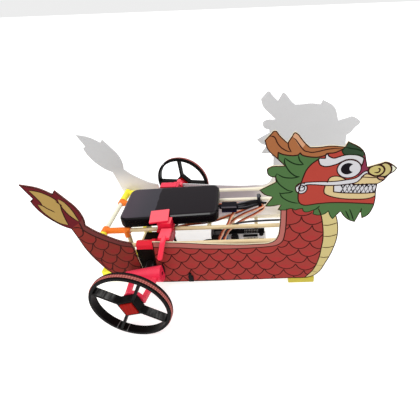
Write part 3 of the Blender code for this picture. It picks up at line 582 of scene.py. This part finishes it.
# The black curl in the whisker's knob, and two zigzags that part the teeth
curl = np.radians(np.linspace(150, -260, 25))
spiral = np.c_[111.6 + np.linspace(4.3, 3.2, 25) * np.cos(curl),
               160.9 + np.linspace(4.5, 3.3, 25) * np.sin(curl)]
LINES.append(("black", *stroke(spiral, 1.3, True, 2)))
tooth = np.arange(19)
for root, slope, tip in ((164.2, -0.02, 158.4), (152.6, -0.04, 158.0)):
    zigzag = np.c_[158.5 + tooth * 2.5, np.where(tooth % 2, tip, root + slope * tooth)]
    LINES.append(("black", *stroke(zigzag, 1.75, False, 1)))


def printed_sheet(ring, rim_half=1.3, tiny=1e-9, least_area=1e-6, merge=1e-4):
    """The drawing as one flat mesh. All outlines and both sides of every line go into one constrained
    Delaunay triangulation, so each triangle lies in a single ink, that of the last area or line over it."""
    rim = np.vstack([ring, ring[:1]])
    scaly = ("scale", "stern", "heart", "stern_heart")
    strokes = [("maroon", line, half, scaly) for line, half in scale_lines()]
    strokes += [(ink, line, half, None) for ink, line, half in LINES]
    strokes.append(("brown", rim, np.full(len(rim), rim_half), None))
    courses = [rim] + [np.vstack([area, area[:1]]) for _, area in AREAS]
    for _, line, half, _ in strokes:
        along = np.gradient(line, axis=0)
        along /= np.maximum(np.linalg.norm(along, axis=1, keepdims=True), tiny)
        across = np.c_[-along[:, 1], along[:, 0]] * half[:, None]
        courses.append(np.vstack([line + across, (line - across)[::-1], line[:1] + across[:1]]))
    low, high = ring.min(0) - 1, ring.max(0) + 1
    points, edges, count = [], [], 0
    for course in courses:
        if np.any(course.max(0) < low) or np.any(course.min(0) > high):
            continue
        points.append(course)
        at = np.arange(count, count + len(course) - 1)
        edges.append(np.c_[at, at + 1])
        count += len(course)
    points, edges = np.vstack(points), np.vstack(edges)
    out = delaunay_2d_cdt([Vector(p) for p in points.tolist()], edges.tolist(), [], 0, merge)
    verts = np.array([v[:] for v in out[0]])
    faces = np.array(out[2])
    centre = verts[faces].mean(1)
    a, b, c = (verts[faces[:, i]] for i in range(3))
    area = ((b - a)[:, 0] * (c - a)[:, 1] - (b - a)[:, 1] * (c - a)[:, 0]) / 2
    keep = inside(centre, ring) & (np.abs(area) > least_area)
    faces, centre = faces[keep], centre[keep]
    names = list(INKS)
    ink = np.full(len(faces), names.index("scale"))
    for name, region in AREAS:
        ink[inside(centre, region)] = names.index(name)
    ground = ink.copy()
    for name, line, half, only in strokes:
        wide = half.max()
        close = np.all((centre > line.min(0) - wide) & (centre < line.max(0) + wide), axis=1)
        if only:
            close &= np.isin(ground, [names.index(n) for n in only])
        rows = np.flatnonzero(close)
        ink[rows[near(centre[rows], line, half)]] = names.index(name)
    used, faces = np.unique(faces, return_inverse=True)
    return verts[used], faces.reshape(-1, 3), np.array([(*INKS[n], 1.0) for n in names])[ink]


def build(name, parts, materials, body="hull", edge=0.0):
    """Closed solids as one object: each part is its corners in millimetres, its tables of faces and the
    number of its material. An edge width adds a small bevel. The object rides a body."""
    corners, faces, marks, start = [], [], [], 0
    for verts, tables, mark in parts:
        corners.append(verts)
        for table in tables:
            faces += (np.asarray(table) + start).tolist()
            marks += [mark] * len(table)
        start += len(verts)
    mesh = bpy.data.meshes.new(name)
    mesh.from_pydata((np.vstack(corners) * MM).tolist(), [], faces)
    mesh.polygons.foreach_set("material_index", marks)
    for material in materials:
        mesh.materials.append(material)
    thing = bpy.data.objects.new(name, mesh)
    bpy.context.scene.collection.objects.link(thing)
    if edge:
        bevel = thing.modifiers.new("edges", 'BEVEL')
        bevel.width = edge * MM
        bevel.segments = 2
    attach(thing, body)
    return thing


INK, tree, shader = mottled("printed_ink", (1, 1, 1), 0.42, depth=0.10, broad=45.0, fine=1400.0, bump=0.05,
                            gloss=0.04)
recolour(tree, put(tree, "Attribute", {"attribute_name": "ink"}).outputs["Color"])
CARD_FACE = -limits("side_panel_right")[0][1]
PRINT_FACE = CARD_FACE + 0.06
flat, triangles, tones = printed_sheet(outline_of("side_panel_right", -CARD_FACE))
for side, s in BOTH:
    laid = np.c_[flat[:, 0], np.full(len(flat), s * PRINT_FACE), flat[:, 1]]
    outward = triangles if s < 0 else triangles[:, ::-1]
    sheet = build(f"printed_dragon_{side}", [(laid, [outward], 0)], [INK])
    layer = sheet.data.color_attributes.new("ink", 'FLOAT_COLOR', 'CORNER')
    layer.data.foreach_set("color", np.repeat(tones, 3, axis=0).astype(np.float32).ravel())


# Dowels: 6 mm birch, cut and sanded, with a pale grain that runs along each stick. The bar behind the
# heads is the same wood planed square.
def wood_group():
    """Birch: noise drawn out along the grain mixes a light and a dark tone, and is the height of the bump."""
    group, given, out = shared("birch_grain", {"Vector": "Vector", "Light": "Color", "Dark": "Color"},
                               {"Colour": "Color", "Height": "Float"})
    streak = noise(group, given["Vector"], 1.0, 5.0, Roughness=0.6)
    spread = put(group, "MapRange", Value=streak, From_Min=0.35, From_Max=0.68).outputs[0]
    group.links.new(tone(group, spread, given["Light"], given["Dark"]), out["Colour"])
    group.links.new(streak, out["Height"])
    return group


GRAIN = wood_group()
FINE, DRAWN = 900, 25
RAILS = ("inner_rail", "gunwale_rail", "bottom_rail")
for name, stretch, light, dark, names in (
        ("birch_near", (DRAWN, FINE, FINE), (0.82, 0.68, 0.43, 1), (0.60, 0.43, 0.22, 1),
         [f"{rail}_right" for rail in RAILS]),
        # The far rails take a paler copy of the same birch: painted light.
        ("birch_far_lit", (DRAWN, FINE, FINE), (0.98, 0.94, 0.80, 1), (0.84, 0.75, 0.56, 1),
         [f"{rail}_left" for rail in RAILS]),
        ("birch_cross", (FINE, DRAWN, FINE), (0.85, 0.74, 0.50, 1), (0.62, 0.48, 0.27, 1),
         ["rear_cross_dowel", "tray_dowel_rear", "tray_dowel_front", "bank_dowel_rear", "bank_dowel_front",
          "front_crossbar"]),
        ("birch_post", (FINE, FINE, DRAWN), (0.82, 0.68, 0.43, 1), (0.60, 0.43, 0.22, 1),
         ["rear_post_right", "rear_post_left"])):
    dress(covered(name, GRAIN, {"Light": light, "Dark": dark}, {"Scale": stretch}, bump=0.25, distance=0.0002,
                  Roughness=0.55, Specular_IOR_Level=0.25)[0], *names)


# Clear cross straw: a length of milky drinking straw that lies across the stern. Its thin wall lets a
# little of what is behind it through.
straw, tree, shader = mottled("milky_straw", (1.0, 0.98, 0.78), 0.3, depth=0.05)
shader.inputs["Alpha"].default_value = 0.85
dress(straw, "rear_straw")


# Printed joints: extruded plastic laid in fine layers, in four colours. The layers stand out as fine ridges
# across each piece, and the colour is a touch paler along them.
def layer_group():
    """Print layers: a sine of the height over the pitch, and slow noise so that no ridge is perfect."""
    group, given, out = shared("print_layers", {"Vector": "Vector", "Colour": "Color", "Pitch": "Float",
                                                "Depth": "Float"},
                               {"Colour": "Color", "Height": "Float", "Roughness": "Float"})
    height = put(group, "SeparateXYZ", Vector=given["Vector"]).outputs["Z"]
    wave = calc(group, "SINE", calc(group, "DIVIDE", height, given["Pitch"]))
    patch = noise(group, given["Vector"], 160.0, 3.0)
    mixed = calc(group, "MULTIPLY_ADD", wave, 0.5, patch)
    gain = calc(group, "MULTIPLY_ADD", mixed, given["Depth"], 0.92)
    group.links.new(scaled(group, given["Colour"], gain), out["Colour"])
    group.links.new(mixed, out["Height"])
    group.links.new(calc(group, "MULTIPLY_ADD", patch, 0.3, 0.25), out["Roughness"])
    return group


LAYERS = layer_group()
LAYER_PITCH = 0.00008


def facing(tree, axis, low, high, negative=False):
    """A mask that rises from 0 to 1 as the surface turns towards an axis of the part, or away from it."""
    ends = (-low, -high) if negative else (low, high)
    return step(tree, spot(tree, axis, "Normal"), *ends)


def printed_plastic(name, colour, turn=(0, 0, 0), gloss=0.2, lit_top=None):
    """Printed plastic whose layers lie across Z, or across another axis when the pattern is turned. A second,
    paler colour, if given, is painted on faces that look up: a painted highlight where the lamp lights the
    tops."""
    inputs = {"Colour": (*colour, 1), "Pitch": LAYER_PITCH, "Depth": 0.16}
    mat, tree, shader = covered(name, LAYERS, inputs, {"Rotation": turn}, bump=0.25, distance=0.00015,
                                Specular_IOR_Level=gloss)
    # Faces that look up take the paler colour: a painted highlight.
    if lit_top:
        recolour(tree, tone(tree, facing(tree, "Z", 0.55, 0.95), (*colour, 1), (*lit_top, 1)))
    return mat


def shaded(material, mask, colour):
    """Lays a colour over a printed plastic's own where the mask is 1."""
    tree = material.node_tree
    recolour(tree, tone(tree, mask, tree.nodes["Group"].inputs["Colour"].links[0].from_socket, colour))


def sides(*names):
    """The names of the right and the left piece of each pair."""
    return [f"{name}_{side}" for name in names for side, _ in BOTH]


LYING = (0, math.pi / 2, 0)
dress(printed_plastic("yellow_print", (1.0, 0.90, 0.065), gloss=0.1),
      *sides("rear_corner", "rear_shoe", "post_seat"))
dress(printed_plastic("foot_print", (0.50, 0.42, 0.055), gloss=0.1), *sides("front_foot"))
dress(printed_plastic("orange_print", (0.95, 0.22, 0.03), LYING, gloss=0.1), *sides("rear_tee"))
RED = printed_plastic("red_print", (0.72, 0.014, 0.045), gloss=0.1, lit_top=(0.95, 0.12, 0.155))
tree = RED.node_tree
# Painted shadow: below the flange the red post is painted darker, as in the flange's shade.
shaded(RED, step(tree, spot(tree, "Z"), 0.0905, 0.0835), (0.42, 0.006, 0.020, 1))
dress(RED, "bank_clamp_right")
# The far clamp takes a darker copy of the red print, with its own paler top: painted shade.
dress(printed_plastic("shaded_red_print", (0.45, 0.008, 0.022), lit_top=(0.72, 0.03, 0.07)), "bank_clamp_left")
PEG = printed_plastic("peg_print", (0.95, 0.036, 0.078), gloss=0.12, lit_top=(0.95, 0.09, 0.13))
LEG = printed_plastic("leg_print", (0.80, 0.024, 0.07), lit_top=(0.86, 0.05, 0.10))
tree = LEG.node_tree
within = calc(tree, "LESS_THAN", calc(tree, "ABSOLUTE", spot(tree, "Y")), 0.0815)
shaded(LEG, within, (0.006, 0.004, 0.004, 1))
dress(LEG, *sides("leg_carrier"))
SLEEVE = printed_plastic("sleeve_print", (0.68, 0.012, 0.030), LYING, gloss=0.1)
dress(SLEEVE, *sides("rail_sleeve"))


# Collars and barrel slits: a printed collar ends each clamp's sleeve. Each red leg's barrel ends in a ring
# round its bore. A thin near-black plug in the mouth is painted shade: it stands in for the shade in the
# bore, and shows as the dark slit in the printed wall.
def slab(x, y, z, mark=0):
    """A box between three pairs of limits: its eight corners and six outward quads."""
    corners = np.array([(a, b, c) for a in x for b in y for c in z], float)
    quads = [(0, 1, 3, 2), (4, 6, 7, 5), (0, 4, 5, 1), (2, 3, 7, 6), (0, 2, 6, 4), (1, 5, 7, 3)]
    return corners, [np.array(quads)], mark


def turned(profile, centre, count=32, mark=0, axis="Z", hollow=False):
    """A round body: profile points (radius, height) swept about a line through the centre along Z or X. The
    ends are closed by flat discs, or, if hollow, the profile's last point joins its first."""
    p = np.array(profile, float)
    a = np.linspace(0, 2 * np.pi, count, endpoint=False)
    u, v = p[:, :1] * np.cos(a), p[:, :1] * np.sin(a)
    w = np.repeat(p[:, 1:], count, axis=1)
    order = (u, v, w) if axis == "Z" else (w, u, v)
    corners = np.stack(order, -1).reshape(-1, 3) + np.array(centre, float)
    i, j = np.meshgrid(np.arange(len(p) if hollow else len(p) - 1), np.arange(count), indexing="ij")
    n, k = (i + 1) % len(p), (j + 1) % count
    quads = np.stack([i * count + j, i * count + k, n * count + k, n * count + j], -1).reshape(-1, 4)
    ends = [] if hollow else [np.arange(count)[::-1][None], (len(p) - 1) * count + np.arange(count)[None]]
    return corners, [quads] + ends, mark


COLLAR = [(3.4, -0.2), (6.6, -0.2), (7.2, 0.4), (7.2, 5.6), (6.6, 6.2), (3.4, 6.2)]
SLIT = [(1.0, -80), (2.9, -80), (2.9, -74.2), (1.6, -73.4)]
for side, s in BOTH:
    sleeve = limits(f"rail_sleeve_{side}")
    collar = turned(COLLAR, (sleeve[1][0], s * 65.6, sleeve[:, 2].mean()), 24, 0, "X", True)
    build(f"sleeve_collar_{side}", [collar], [SLEEVE])
# Painted shade: near black, for the shade inside each barrel's bore.
BORE_SHADE = mottled("bore_shade_black", (0.012, 0.002, 0.003), 0.6, depth=0.3, gloss=0.05)[0]
for side, s in BOTH:
    build(f"barrel_slit_{side}", [turned(SLIT, (0, s * 87.3, 40.2), 24, 0, "X")], [BORE_SHADE])


# Clamp pegs: a flat printed arm rests on each clamp's flange and turns down outside the panel as a round
# rod with a domed end. Arm and rod are one print.
def swept(path, wide, high, shift=0.0, count=10, mark=0, per=7):
    """A closed strip along a smooth course. Each ring is the course point, plus side times (shift + wide
    cos a), plus up times high sin a; side lies level across the course and up stands square to both."""
    line = bend(path, per)
    along = np.gradient(line, axis=0)
    along /= np.linalg.norm(along, axis=1, keepdims=True)
    side = np.cross(along, (0.0, 0.0, 1.0))
    side /= np.linalg.norm(side, axis=1, keepdims=True)
    up = np.cross(side, along)
    a = np.linspace(0, 2 * np.pi, count, endpoint=False)
    rings = (line[:, None] + side[:, None] * (shift + wide * np.cos(a))[None, :, None]
             + up[:, None] * (high * np.sin(a))[None, :, None])
    i, j = np.meshgrid(np.arange(len(line) - 1), np.arange(count), indexing="ij")
    n, k = i + 1, (j + 1) % count
    quads = np.stack([i * count + j, n * count + j, n * count + k, i * count + k], -1).reshape(-1, 4)
    ends = [np.arange(count)[None], (len(line) - 1) * count + np.arange(count)[::-1][None]]
    return rings.reshape(-1, 3), [quads] + ends, mark


ROD_RADIUS = 3.4
ROD = [(-66, 69, 88.0), (-66, 75.5, 88.3), (-66.4, 79.2, 86.8), (-67.8, 80.4, 82), (-71.2, 80.8, 71),
       (-74.0, 81, 62.2)]
DOME = [(0.4, 59.3), (2.0, 59.7), (3.0, 60.6), (3.45, 62.1), (ROD_RADIUS, 63.2)]
ARM_LENGTH = 14.0
NEAR_END = limits("peg_right")[1][0]
for side, s in BOTH:
    peg = limits(f"peg_{side}")
    end, start = peg[1][0], np.abs(peg[:, 1]).min() + 0.1
    shift = end - NEAR_END
    rod = swept(np.array(ROD) * (1, s, 1) + (shift, 0, 0), ROD_RADIUS, ROD_RADIUS, count=16)
    dome = turned(DOME, (-73.9 + shift, s * 81, 0), 20)
    arm = slab((end - ARM_LENGTH, end), sorted((s * start, s * 72.0)), (85.4, 89.6))
    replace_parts(build(f"peg_hook_{side}", [arm, rod, dome], [PEG], edge=0.5), f"peg_{side}")


# Wheels: black prints with a ribbed rubber band round each rim, and red hub pegs. Two opposite spokes carry
# a painted grey sheen in streaks on their upward faces, and two pale joint lines cross the rim where its
# print starts and ends.
AXLES = {joint["child"]: joint for joint in frame["joints"]}


def wheel_group():
    """A wheel's own measures: a place from its centre, with the axle along Y, gives the radius, the angle
    round the axle and the distance along it."""
    group, given, out = shared("wheel_measures", {"Vector": "Vector"},
                               {"Radius": "Float", "Angle": "Float", "Along": "Float"})
    split = put(group, "SeparateXYZ", Vector=given["Vector"]).outputs
    level = put(group, "CombineXYZ", X=split["X"], Z=split["Z"]).outputs[0]
    length = put(group, "VectorMath", {"operation": "LENGTH"}, i0=level).outputs["Value"]
    group.links.new(length, out["Radius"])
    group.links.new(calc(group, "ARCTAN2", split["Z"], split["X"]), out["Angle"])
    group.links.new(split["Y"], out["Along"])
    return group


WHEEL_MEASURES = wheel_group()


def measured(tree, side):
    """The wheel measures of one side, and the place from its centre that they are taken at."""
    axle = AXLES[f"wheel_{side}"]
    spin = math.atan2(axle["axis"][0], axle["axis"][1])
    moved = -(Matrix.Rotation(spin, 3, 'Z') @ Vector(axle["pos_m"]))
    local = put(tree, "Mapping", Vector=put(tree, "TexCoord").outputs["Object"],
                Location=moved[:], Rotation=(0, 0, spin)).outputs[0]
    return put(tree, "Group", {"node_tree": WHEEL_MEASURES}, Vector=local).outputs, local


def times(tree, *values):
    """The product of several masks."""
    out = values[0]
    for value in values[1:]:
        out = calc(tree, "MULTIPLY", out, value)
    return out


SHEEN_ANGLE = {"right": 153.5, "left": 92.0}
SEAMS = (-2.155, -1.876)
RIBS = 98.0
for side, s in BOTH:
    mat, tree, shader = finish(f"wheel_print_{side}", Specular_IOR_Level=0.05, Roughness=0.45)
    own, local = measured(tree, side)
    streaked = put(tree, "Mapping", Vector=local, Scale=(260, 60, 520)).outputs[0]
    sheen_streaks = noise(tree, streaked, 1.0, 5.0)
    twice = calc(tree, "MULTIPLY_ADD", own["Angle"], 2.0, -2 * math.radians(SHEEN_ANGLE[side]))
    opposite = step(tree, calc(tree, "COSINE", twice), 0.0, 0.5)
    ring = times(tree, step(tree, own["Radius"], 0.019, 0.023), step(tree, own["Radius"], 0.0440, 0.0420),
                 opposite, facing(tree, "Z", 0.2, 0.6))
    # Painted sheen: grey streaks on the upward faces of two opposite spokes.
    painted_sheen = tone(tree, step(tree, sheen_streaks, 0.40, 0.66), (0.024, 0.023, 0.023, 1), (0.10, 0.10, 0.098, 1))
    base = tone(tree, ring, (0.0035, 0.003, 0.003, 1), painted_sheen)
    for seam in SEAMS:
        gap = calc(tree, "ABSOLUTE", calc(tree, "SUBTRACT", own["Angle"], seam))
        line = times(tree, step(tree, gap, 0.011, 0.007), step(tree, own["Radius"], 0.0452, 0.0456))
        base = tone(tree, line, base, (0.16, 0.155, 0.155, 1))
    tree.links.new(base, shader.inputs["Base Color"])
    relief(tree, shader, sheen_streaks, Strength=0.4, Distance=0.0002)
    dress(mat, f"wheel_{side}")

    mat, tree, shader = finish(f"band_rubber_{side}", Specular_IOR_Level=0.1, Roughness=0.7)
    own, local = measured(tree, side)
    wave = calc(tree, "SINE", calc(tree, "MULTIPLY", own["Angle"], RIBS))
    ribs = step(tree, wave, -0.6, 0.8)
    pale = tone(tree, ribs, (0.40, 0.105, 0.092, 1), (0.58, 0.18, 0.155, 1))
    dull = tone(tree, ribs, (0.11, 0.020, 0.018, 1), (0.20, 0.045, 0.040, 1))
    outer = calc(tree, "MULTIPLY", own["Along"], s)
    band = (0.010, 0.006, 0.006, 1)
    for start, end, stripe in ((-0.0014, -0.0009, dull), (-0.0002, 0.0002, pale), (0.0011, 0.0014, dull),
                               (0.0018, 0.0021, pale)):
        band = tone(tree, step(tree, outer, start, end), band, stripe)
    tree.links.new(band, shader.inputs["Base Color"])
    relief(tree, shader, wave, Strength=0.6, Distance=0.0004)
    dress(mat, f"tread_band_{side}")
dress(printed_plastic("hub_print", (0.27, 0.007, 0.004), (math.pi / 2, 0, 0), gloss=0.02), *sides("hub_peg"))


# Servos: moulded black cases in dull fine-grained plastic, which look out through the slots in the panels.
# Each has a mounting ear that stands off its rear end.
CASE = mottled("servo_case", (0.006, 0.004, 0.003), 0.5, depth=0.3, gloss=0.06)[0]
dress(CASE, *sides("servo"))
for side, s in BOTH:
    low, high = limits(f"servo_{side}")
    ear = slab((low[0] - 5.2, low[0] + 0.1), sorted((s * 58.0, s * 66.8)), (low[2] - 4.5, high[2] - 0.3))
    build(f"servo_ear_{side}", [ear], [CASE], edge=0.6)


# Power bank: a flat moulded slab with rounded edges, black and satin. The tail end of its top has a duller
# coat, with an uneven edge across the middle, and the long near edge has a glossy coat laid only along it to
# give a highlight line.
mat, tree, shader = finish("bank_shell", Specular_IOR_Level=0.06, Roughness=0.22, Coat_Roughness=0.12)
where = put(tree, "TexCoord").outputs["Object"]
x = spot(tree, "X")
slope = calc(tree, "MULTIPLY_ADD", spot(tree, "Y"), 0.0524, x)
border = calc(tree, "MULTIPLY_ADD", noise(tree, where, 90.0), 0.005, slope)
coat = tone(tree, step(tree, x, -0.135, -0.095), (0.066, 0.052, 0.066, 1), (0.047, 0.044, 0.054, 1))
top = tone(tree, step(tree, border, -0.0865, -0.0878), (0.0135, 0.0105, 0.0132, 1), coat)
upward = facing(tree, "Z", 0.80, 0.97)
tree.links.new(tone(tree, upward, (0.0030, 0.0020, 0.0030, 1), top), shader.inputs["Base Color"])
# A glossy coat only along the near edge's curve, set there for its highlight line.
polished = times(tree, facing(tree, "Z", 0.35, 0.62), calc(tree, "SUBTRACT", 1.0, upward),
                 facing(tree, "Y", 0.25, 0.6, True), step(tree, x, -0.078, -0.060), 0.9)
tree.links.new(polished, shader.inputs["Coat Weight"])
relief(tree, shader, noise(tree, where, 900.0), Strength=0.04, Distance=0.0002)
dress(mat, "power_bank")


# Charging cable: a black plug, a cable laid double as far as the tie, and a black strap round it. The plug
# has a paler line along its near edge; the jackets are smooth, and faces that look up carry a thin painted
# highlight.
CABLE_BLACK = (0.007, 0.006, 0.008)
CABLE, tree, shader = mottled("cable_jacket", CABLE_BLACK, 0.4, depth=0.3, gloss=0.05)
# Painted highlight: faces that look up are painted grey.
recolour(tree, tone(tree, facing(tree, "Z", 0.82, 0.99), (*CABLE_BLACK, 1), (0.10, 0.10, 0.11, 1)))
dress(CABLE, "bank_cable")
PLUG_BLACK = (0.006, 0.005, 0.009)
PLUG, tree, shader = mottled("plug_shell", PLUG_BLACK, 0.4, depth=0.3, gloss=0.05)
y, z = spot(tree, "Y"), spot(tree, "Z")
lip = times(tree, step(tree, z, 0.0893, 0.0898), step(tree, z, 0.0921, 0.0914),
            step(tree, y, -0.0078, -0.0084))
body = tone(tree, step(tree, z, 0.0850, 0.0830), (*PLUG_BLACK, 1), (0.010, 0.008, 0.035, 1))
recolour(tree, tone(tree, lip, body, (0.12, 0.11, 0.13, 1)))
shell = slab((5.2, 27.6), (-9.2, 4.0), (81.2, 92.0))
mouth = slab((1.7, 5.3), (-6.4, 1.4), (85.7, 89.7))
neck = slab((27.5, 29.5), (-6.8, 1.0), (84.2, 90.4))
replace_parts(build("plug_shell", [shell, mouth, neck], [PLUG], edge=0.7), "bank_plug")
for name, radius, path in (
        ("cable_fold", 2.3, [(27.6, -5.2, 86.0), (33, -5.0, 85.6), (42, -1.0, 83.6), (51, 10.0, 78.8),
                             (57, 19, 74.3), (60, 24, 71.8)]),
        ("cable_upper", 2.7, [(27.6, -0.4, 88.4), (33, 0.4, 89.2), (41, 4.8, 88.0), (50.5, 16.2, 82.2),
                              (58.5, 25.8, 76.0), (61, 28.8, 73.8)])):
    build(name, [swept(path, radius, radius, count=12)], [CABLE])
TIE_LEAN = 0.16
STRAP = [(10.4, -2.6), (11.5, -2.6), (11.9, -2.2), (11.9, 2.2), (11.5, 2.6), (10.4, 2.6)]
tie = limits("cable_tie").mean(0) + (0.45, 0, 0)
strap = turned(STRAP, tie, 56, 0, "X", True)
strap[0][:, 0] -= TIE_LEAN * (strap[0][:, 2] - tie[2])
buckle = slab((59.8, 66.2), (22.6, 28.4), (61.5, 66.2))
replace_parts(build("tie_strap", [strap, buckle], [CABLE], edge=0.4), "cable_tie")


# Servo leads: flat three-core leads, brown, red-orange and pale, that hang from the servos forward to the tie
# and back down to the board. Each core is its own round jacket, and the three are moulded side by side.
JACKETS = {"lead_brown": (0.19, 0.042, 0.026), "lead_red": (0.80, 0.15, 0.042),
           "lead_pale": (0.95, 0.58, 0.42)}
CORES = [mottled(name, colour, 0.4, depth=0.25, gloss=0.1)[0] for name, colour in JACKETS.items()]
CORE_RADIUS, CORE_STEP = 0.95, 1.8


def ribbon(path):
    """Three cores side by side along one course."""
    return [swept(path, CORE_RADIUS, CORE_RADIUS, across * CORE_STEP, 8, mark)
            for mark, across in enumerate((1, 0, -1))]


LEADS = {
    "right": [(-83.5, -42, 62), (-80, -42, 62.1), (-74, -38, 65.5), (-62, -31.5, 73), (-47, -28.4, 75.3),
              (-37, -26.0, 75.6), (-18.5, -22.8, 75), (-3, -14, 72), (12, -3, 70.5), (30, 9, 69.5),
              (50, 22, 69.6), (60, 27.4, 69), (66, 25.6, 67.6), (64, 20.5, 68.2), (51, 14.5, 66.8),
              (37, 8.0, 65), (25, 1, 62.5), (16, -5.5, 58.5), (9, -11.5, 54), (4, -18.5, 49.5),
              (0.3, -24.3, 45.5), (-1.5, -26.8, 41)],
    "left": [(-83.5, 42, 62), (-80, 42, 62.1), (-73, 36, 64.5), (-60, 32.5, 66), (-20, 32.5, 68),
             (30, 32.5, 68.3), (61, 32.5, 68.2), (66, 31, 65.8), (67, 25, 62), (54, 16, 58.5), (40, 8, 56.5),
             (28, 1, 54), (19, -5.5, 51), (12.5, -11, 48), (8.5, -17.5, 45), (6, -24, 40)],
    "board": [(24, 3, 81), (22.6, -1.8, 76), (18, -6.6, 71), (13.3, -11, 62), (8, -15, 55.5), (3.4, -18, 50),
              (-1.4, -22.3, 43)],
}
for side, s in BOTH:
    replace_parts(build(f"lead_ribbon_{side}", ribbon(LEADS[side]), CORES), f"servo_lead_{side}")
build("lead_ribbon_board", ribbon(LEADS["board"]), CORES)
# A dark grey wire runs forward above the near rail. It is a real wire and also stands in for a dowel's shadow
# along the same line: painted shadow.
GREY = mottled("wire_grey", (0.045, 0.042, 0.048), 0.45, depth=0.3, gloss=0.1)[0]
WIRE_RADIUS = 1.5
WIRE = [(6.3, -18.6, 39.2), (6.8, -18.8, 45), (8.6, -18.6, 51), (12, -18, 56), (20, -16.8, 63),
        (30, -15.3, 66), (49.4, -12.5, 66), (70.5, -11.4, 66), (91.6, -11.1, 66), (122.3, -11.5, 67.6)]
build("wire_grey", [swept(WIRE, WIRE_RADIUS, WIRE_RADIUS, count=8)], [GREY])


# Control board: white lacquered laminate on its tray, with black sockets, pins, a round sounder, a shielded
# chip and a blue screw terminal, each soldered to the board.
dress(mottled("board_white", (0.78, 0.76, 0.76), 0.35, depth=0.06, gloss=0.1)[0], "circuit_board",
      "board_tray")
CHIP = mottled("chip_black", (0.007, 0.006, 0.007), 0.45, depth=0.3, gloss=0.06)[0]
dress(CHIP, "pin_header_long", "power_jack")
PIN = mottled("pin_silver", (0.45, 0.44, 0.43), 0.35, depth=0.2, gloss=0.4)[0]
TAN = mottled("shield_tan", (0.36, 0.33, 0.26), 0.5, depth=0.3, gloss=0.1)[0]
PALE = mottled("terminal_pale", (0.25, 0.50, 0.72), 0.4, depth=0.1, gloss=0.1)[0]
BLUE = mottled("terminal_blue", (0.02, 0.13, 0.42), 0.4, depth=0.1, gloss=0.1)[0]
BOARD_FACE = limits("circuit_board")[1][2] + 0.1
PIN_PITCH = 2.54


def stood(x, y, low, high, mark=0):
    """A box on the board, between limits along X and Y and two heights over its face."""
    return slab(x, y, (BOARD_FACE + low, BOARD_FACE + high), mark)


pins = [stood((x - 0.4, x + 0.4), (0.3, 0.98), low, high) for x in np.arange(37.1, 57.5, PIN_PITCH)
        for low, high in ((2.0, 3.0), (5.4, 8.0))]
build("header_pins", pins, [PIN])
sockets = [stood((34.5, 57.3), (-7.2, -4.2), 0, 3.4), stood((58.9, 67.2), (-22.3, -14.4), 0, 3.2),
           stood((-11.5, 10.7), (0.6, 3.8), 4.6, 8.6)]
build("socket_row", sockets, [CHIP], edge=0.4)
DOTS = ((41.5, -12.9), (46.2, -12.9), (51.0, -12.7), (43.6, -16.2), (48.8, -16.0), (54.2, -15.8))
dots = [stood((x, x + 2.4), (y, y + 1.7), 1.6, 2.1, 1) for x, y in DOTS]
plate = stood((35.2, 57.8), (-24.0, -10.2), 0, 1.7)
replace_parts(build("shield_plate", [plate] + dots, [TAN, CHIP], edge=0.2), "main_chip")
KNOB = [(3.4, 0), (3.6, 0.5), (3.6, 3.0), (3.1, 3.6), (1.2, 3.8)]
build("knob", [turned(KNOB, (62.9, -2.4, BOARD_FACE), 24)], [CHIP])
SOUNDER = [(5.7, 0.2), (6.0, 0.7), (6.1, 6.6), (5.7, 8.6), (4.7, 10.3), (3.0, 11.4), (1.4, 11.7), (1.1, 10.9),
           (0.3, 10.8)]
sounder = turned(SOUNDER, (21.9, -14.2, BOARD_FACE), 40)
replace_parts(build("sounder", [sounder], [CHIP]), "round_buzzer")
SCREW = [(1.5, 8.3), (1.7, 8.6), (0.4, 8.6)]
block = [stood((2.9, 10.0), (-20.5, -6.5), 0.2, 8.4), stood((9.9, 10.7), (-20.0, -7.0), 0.4, 8.0, 1)]
screws = [turned(SCREW, (6.3, y, BOARD_FACE), 16, 1) for y in (-16.5, -10.5)]
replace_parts(build("screw_terminal", block + screws, [BLUE, PALE], edge=0.3), "blue_terminal")
TAILS = ((3.0, [(-13.6, 12, 37.4), (-13.5, 3.7, 38.2), (-12.4, -8, 38.4), (-11.6, -14, 38.2)]),
         (5.4, [(-5.4, 12, 37.4), (-5.3, 4.2, 38.2), (-4.6, -4, 38.4), (-4.2, -12.6, 38.0)]))
build("jack_tails", [swept(path, wide, 1.0) for wide, path in TAILS], [CABLE])


# Hull clip: a short clip of black plastic on the near panel's outer face, close to its lower edge. It is a
# broad jaw with a narrower grip above.
against = -CARD_FACE - 0.1
jaw = slab((-42.6, -35.6), (against - 1.8, against), (11.0, 22.0))
grip = slab((-41.6, -37.6), (against - 2.3, against), (20.5, 27.5))
build("hull_clip", [jaw, grip], [CHIP], edge=0.5)
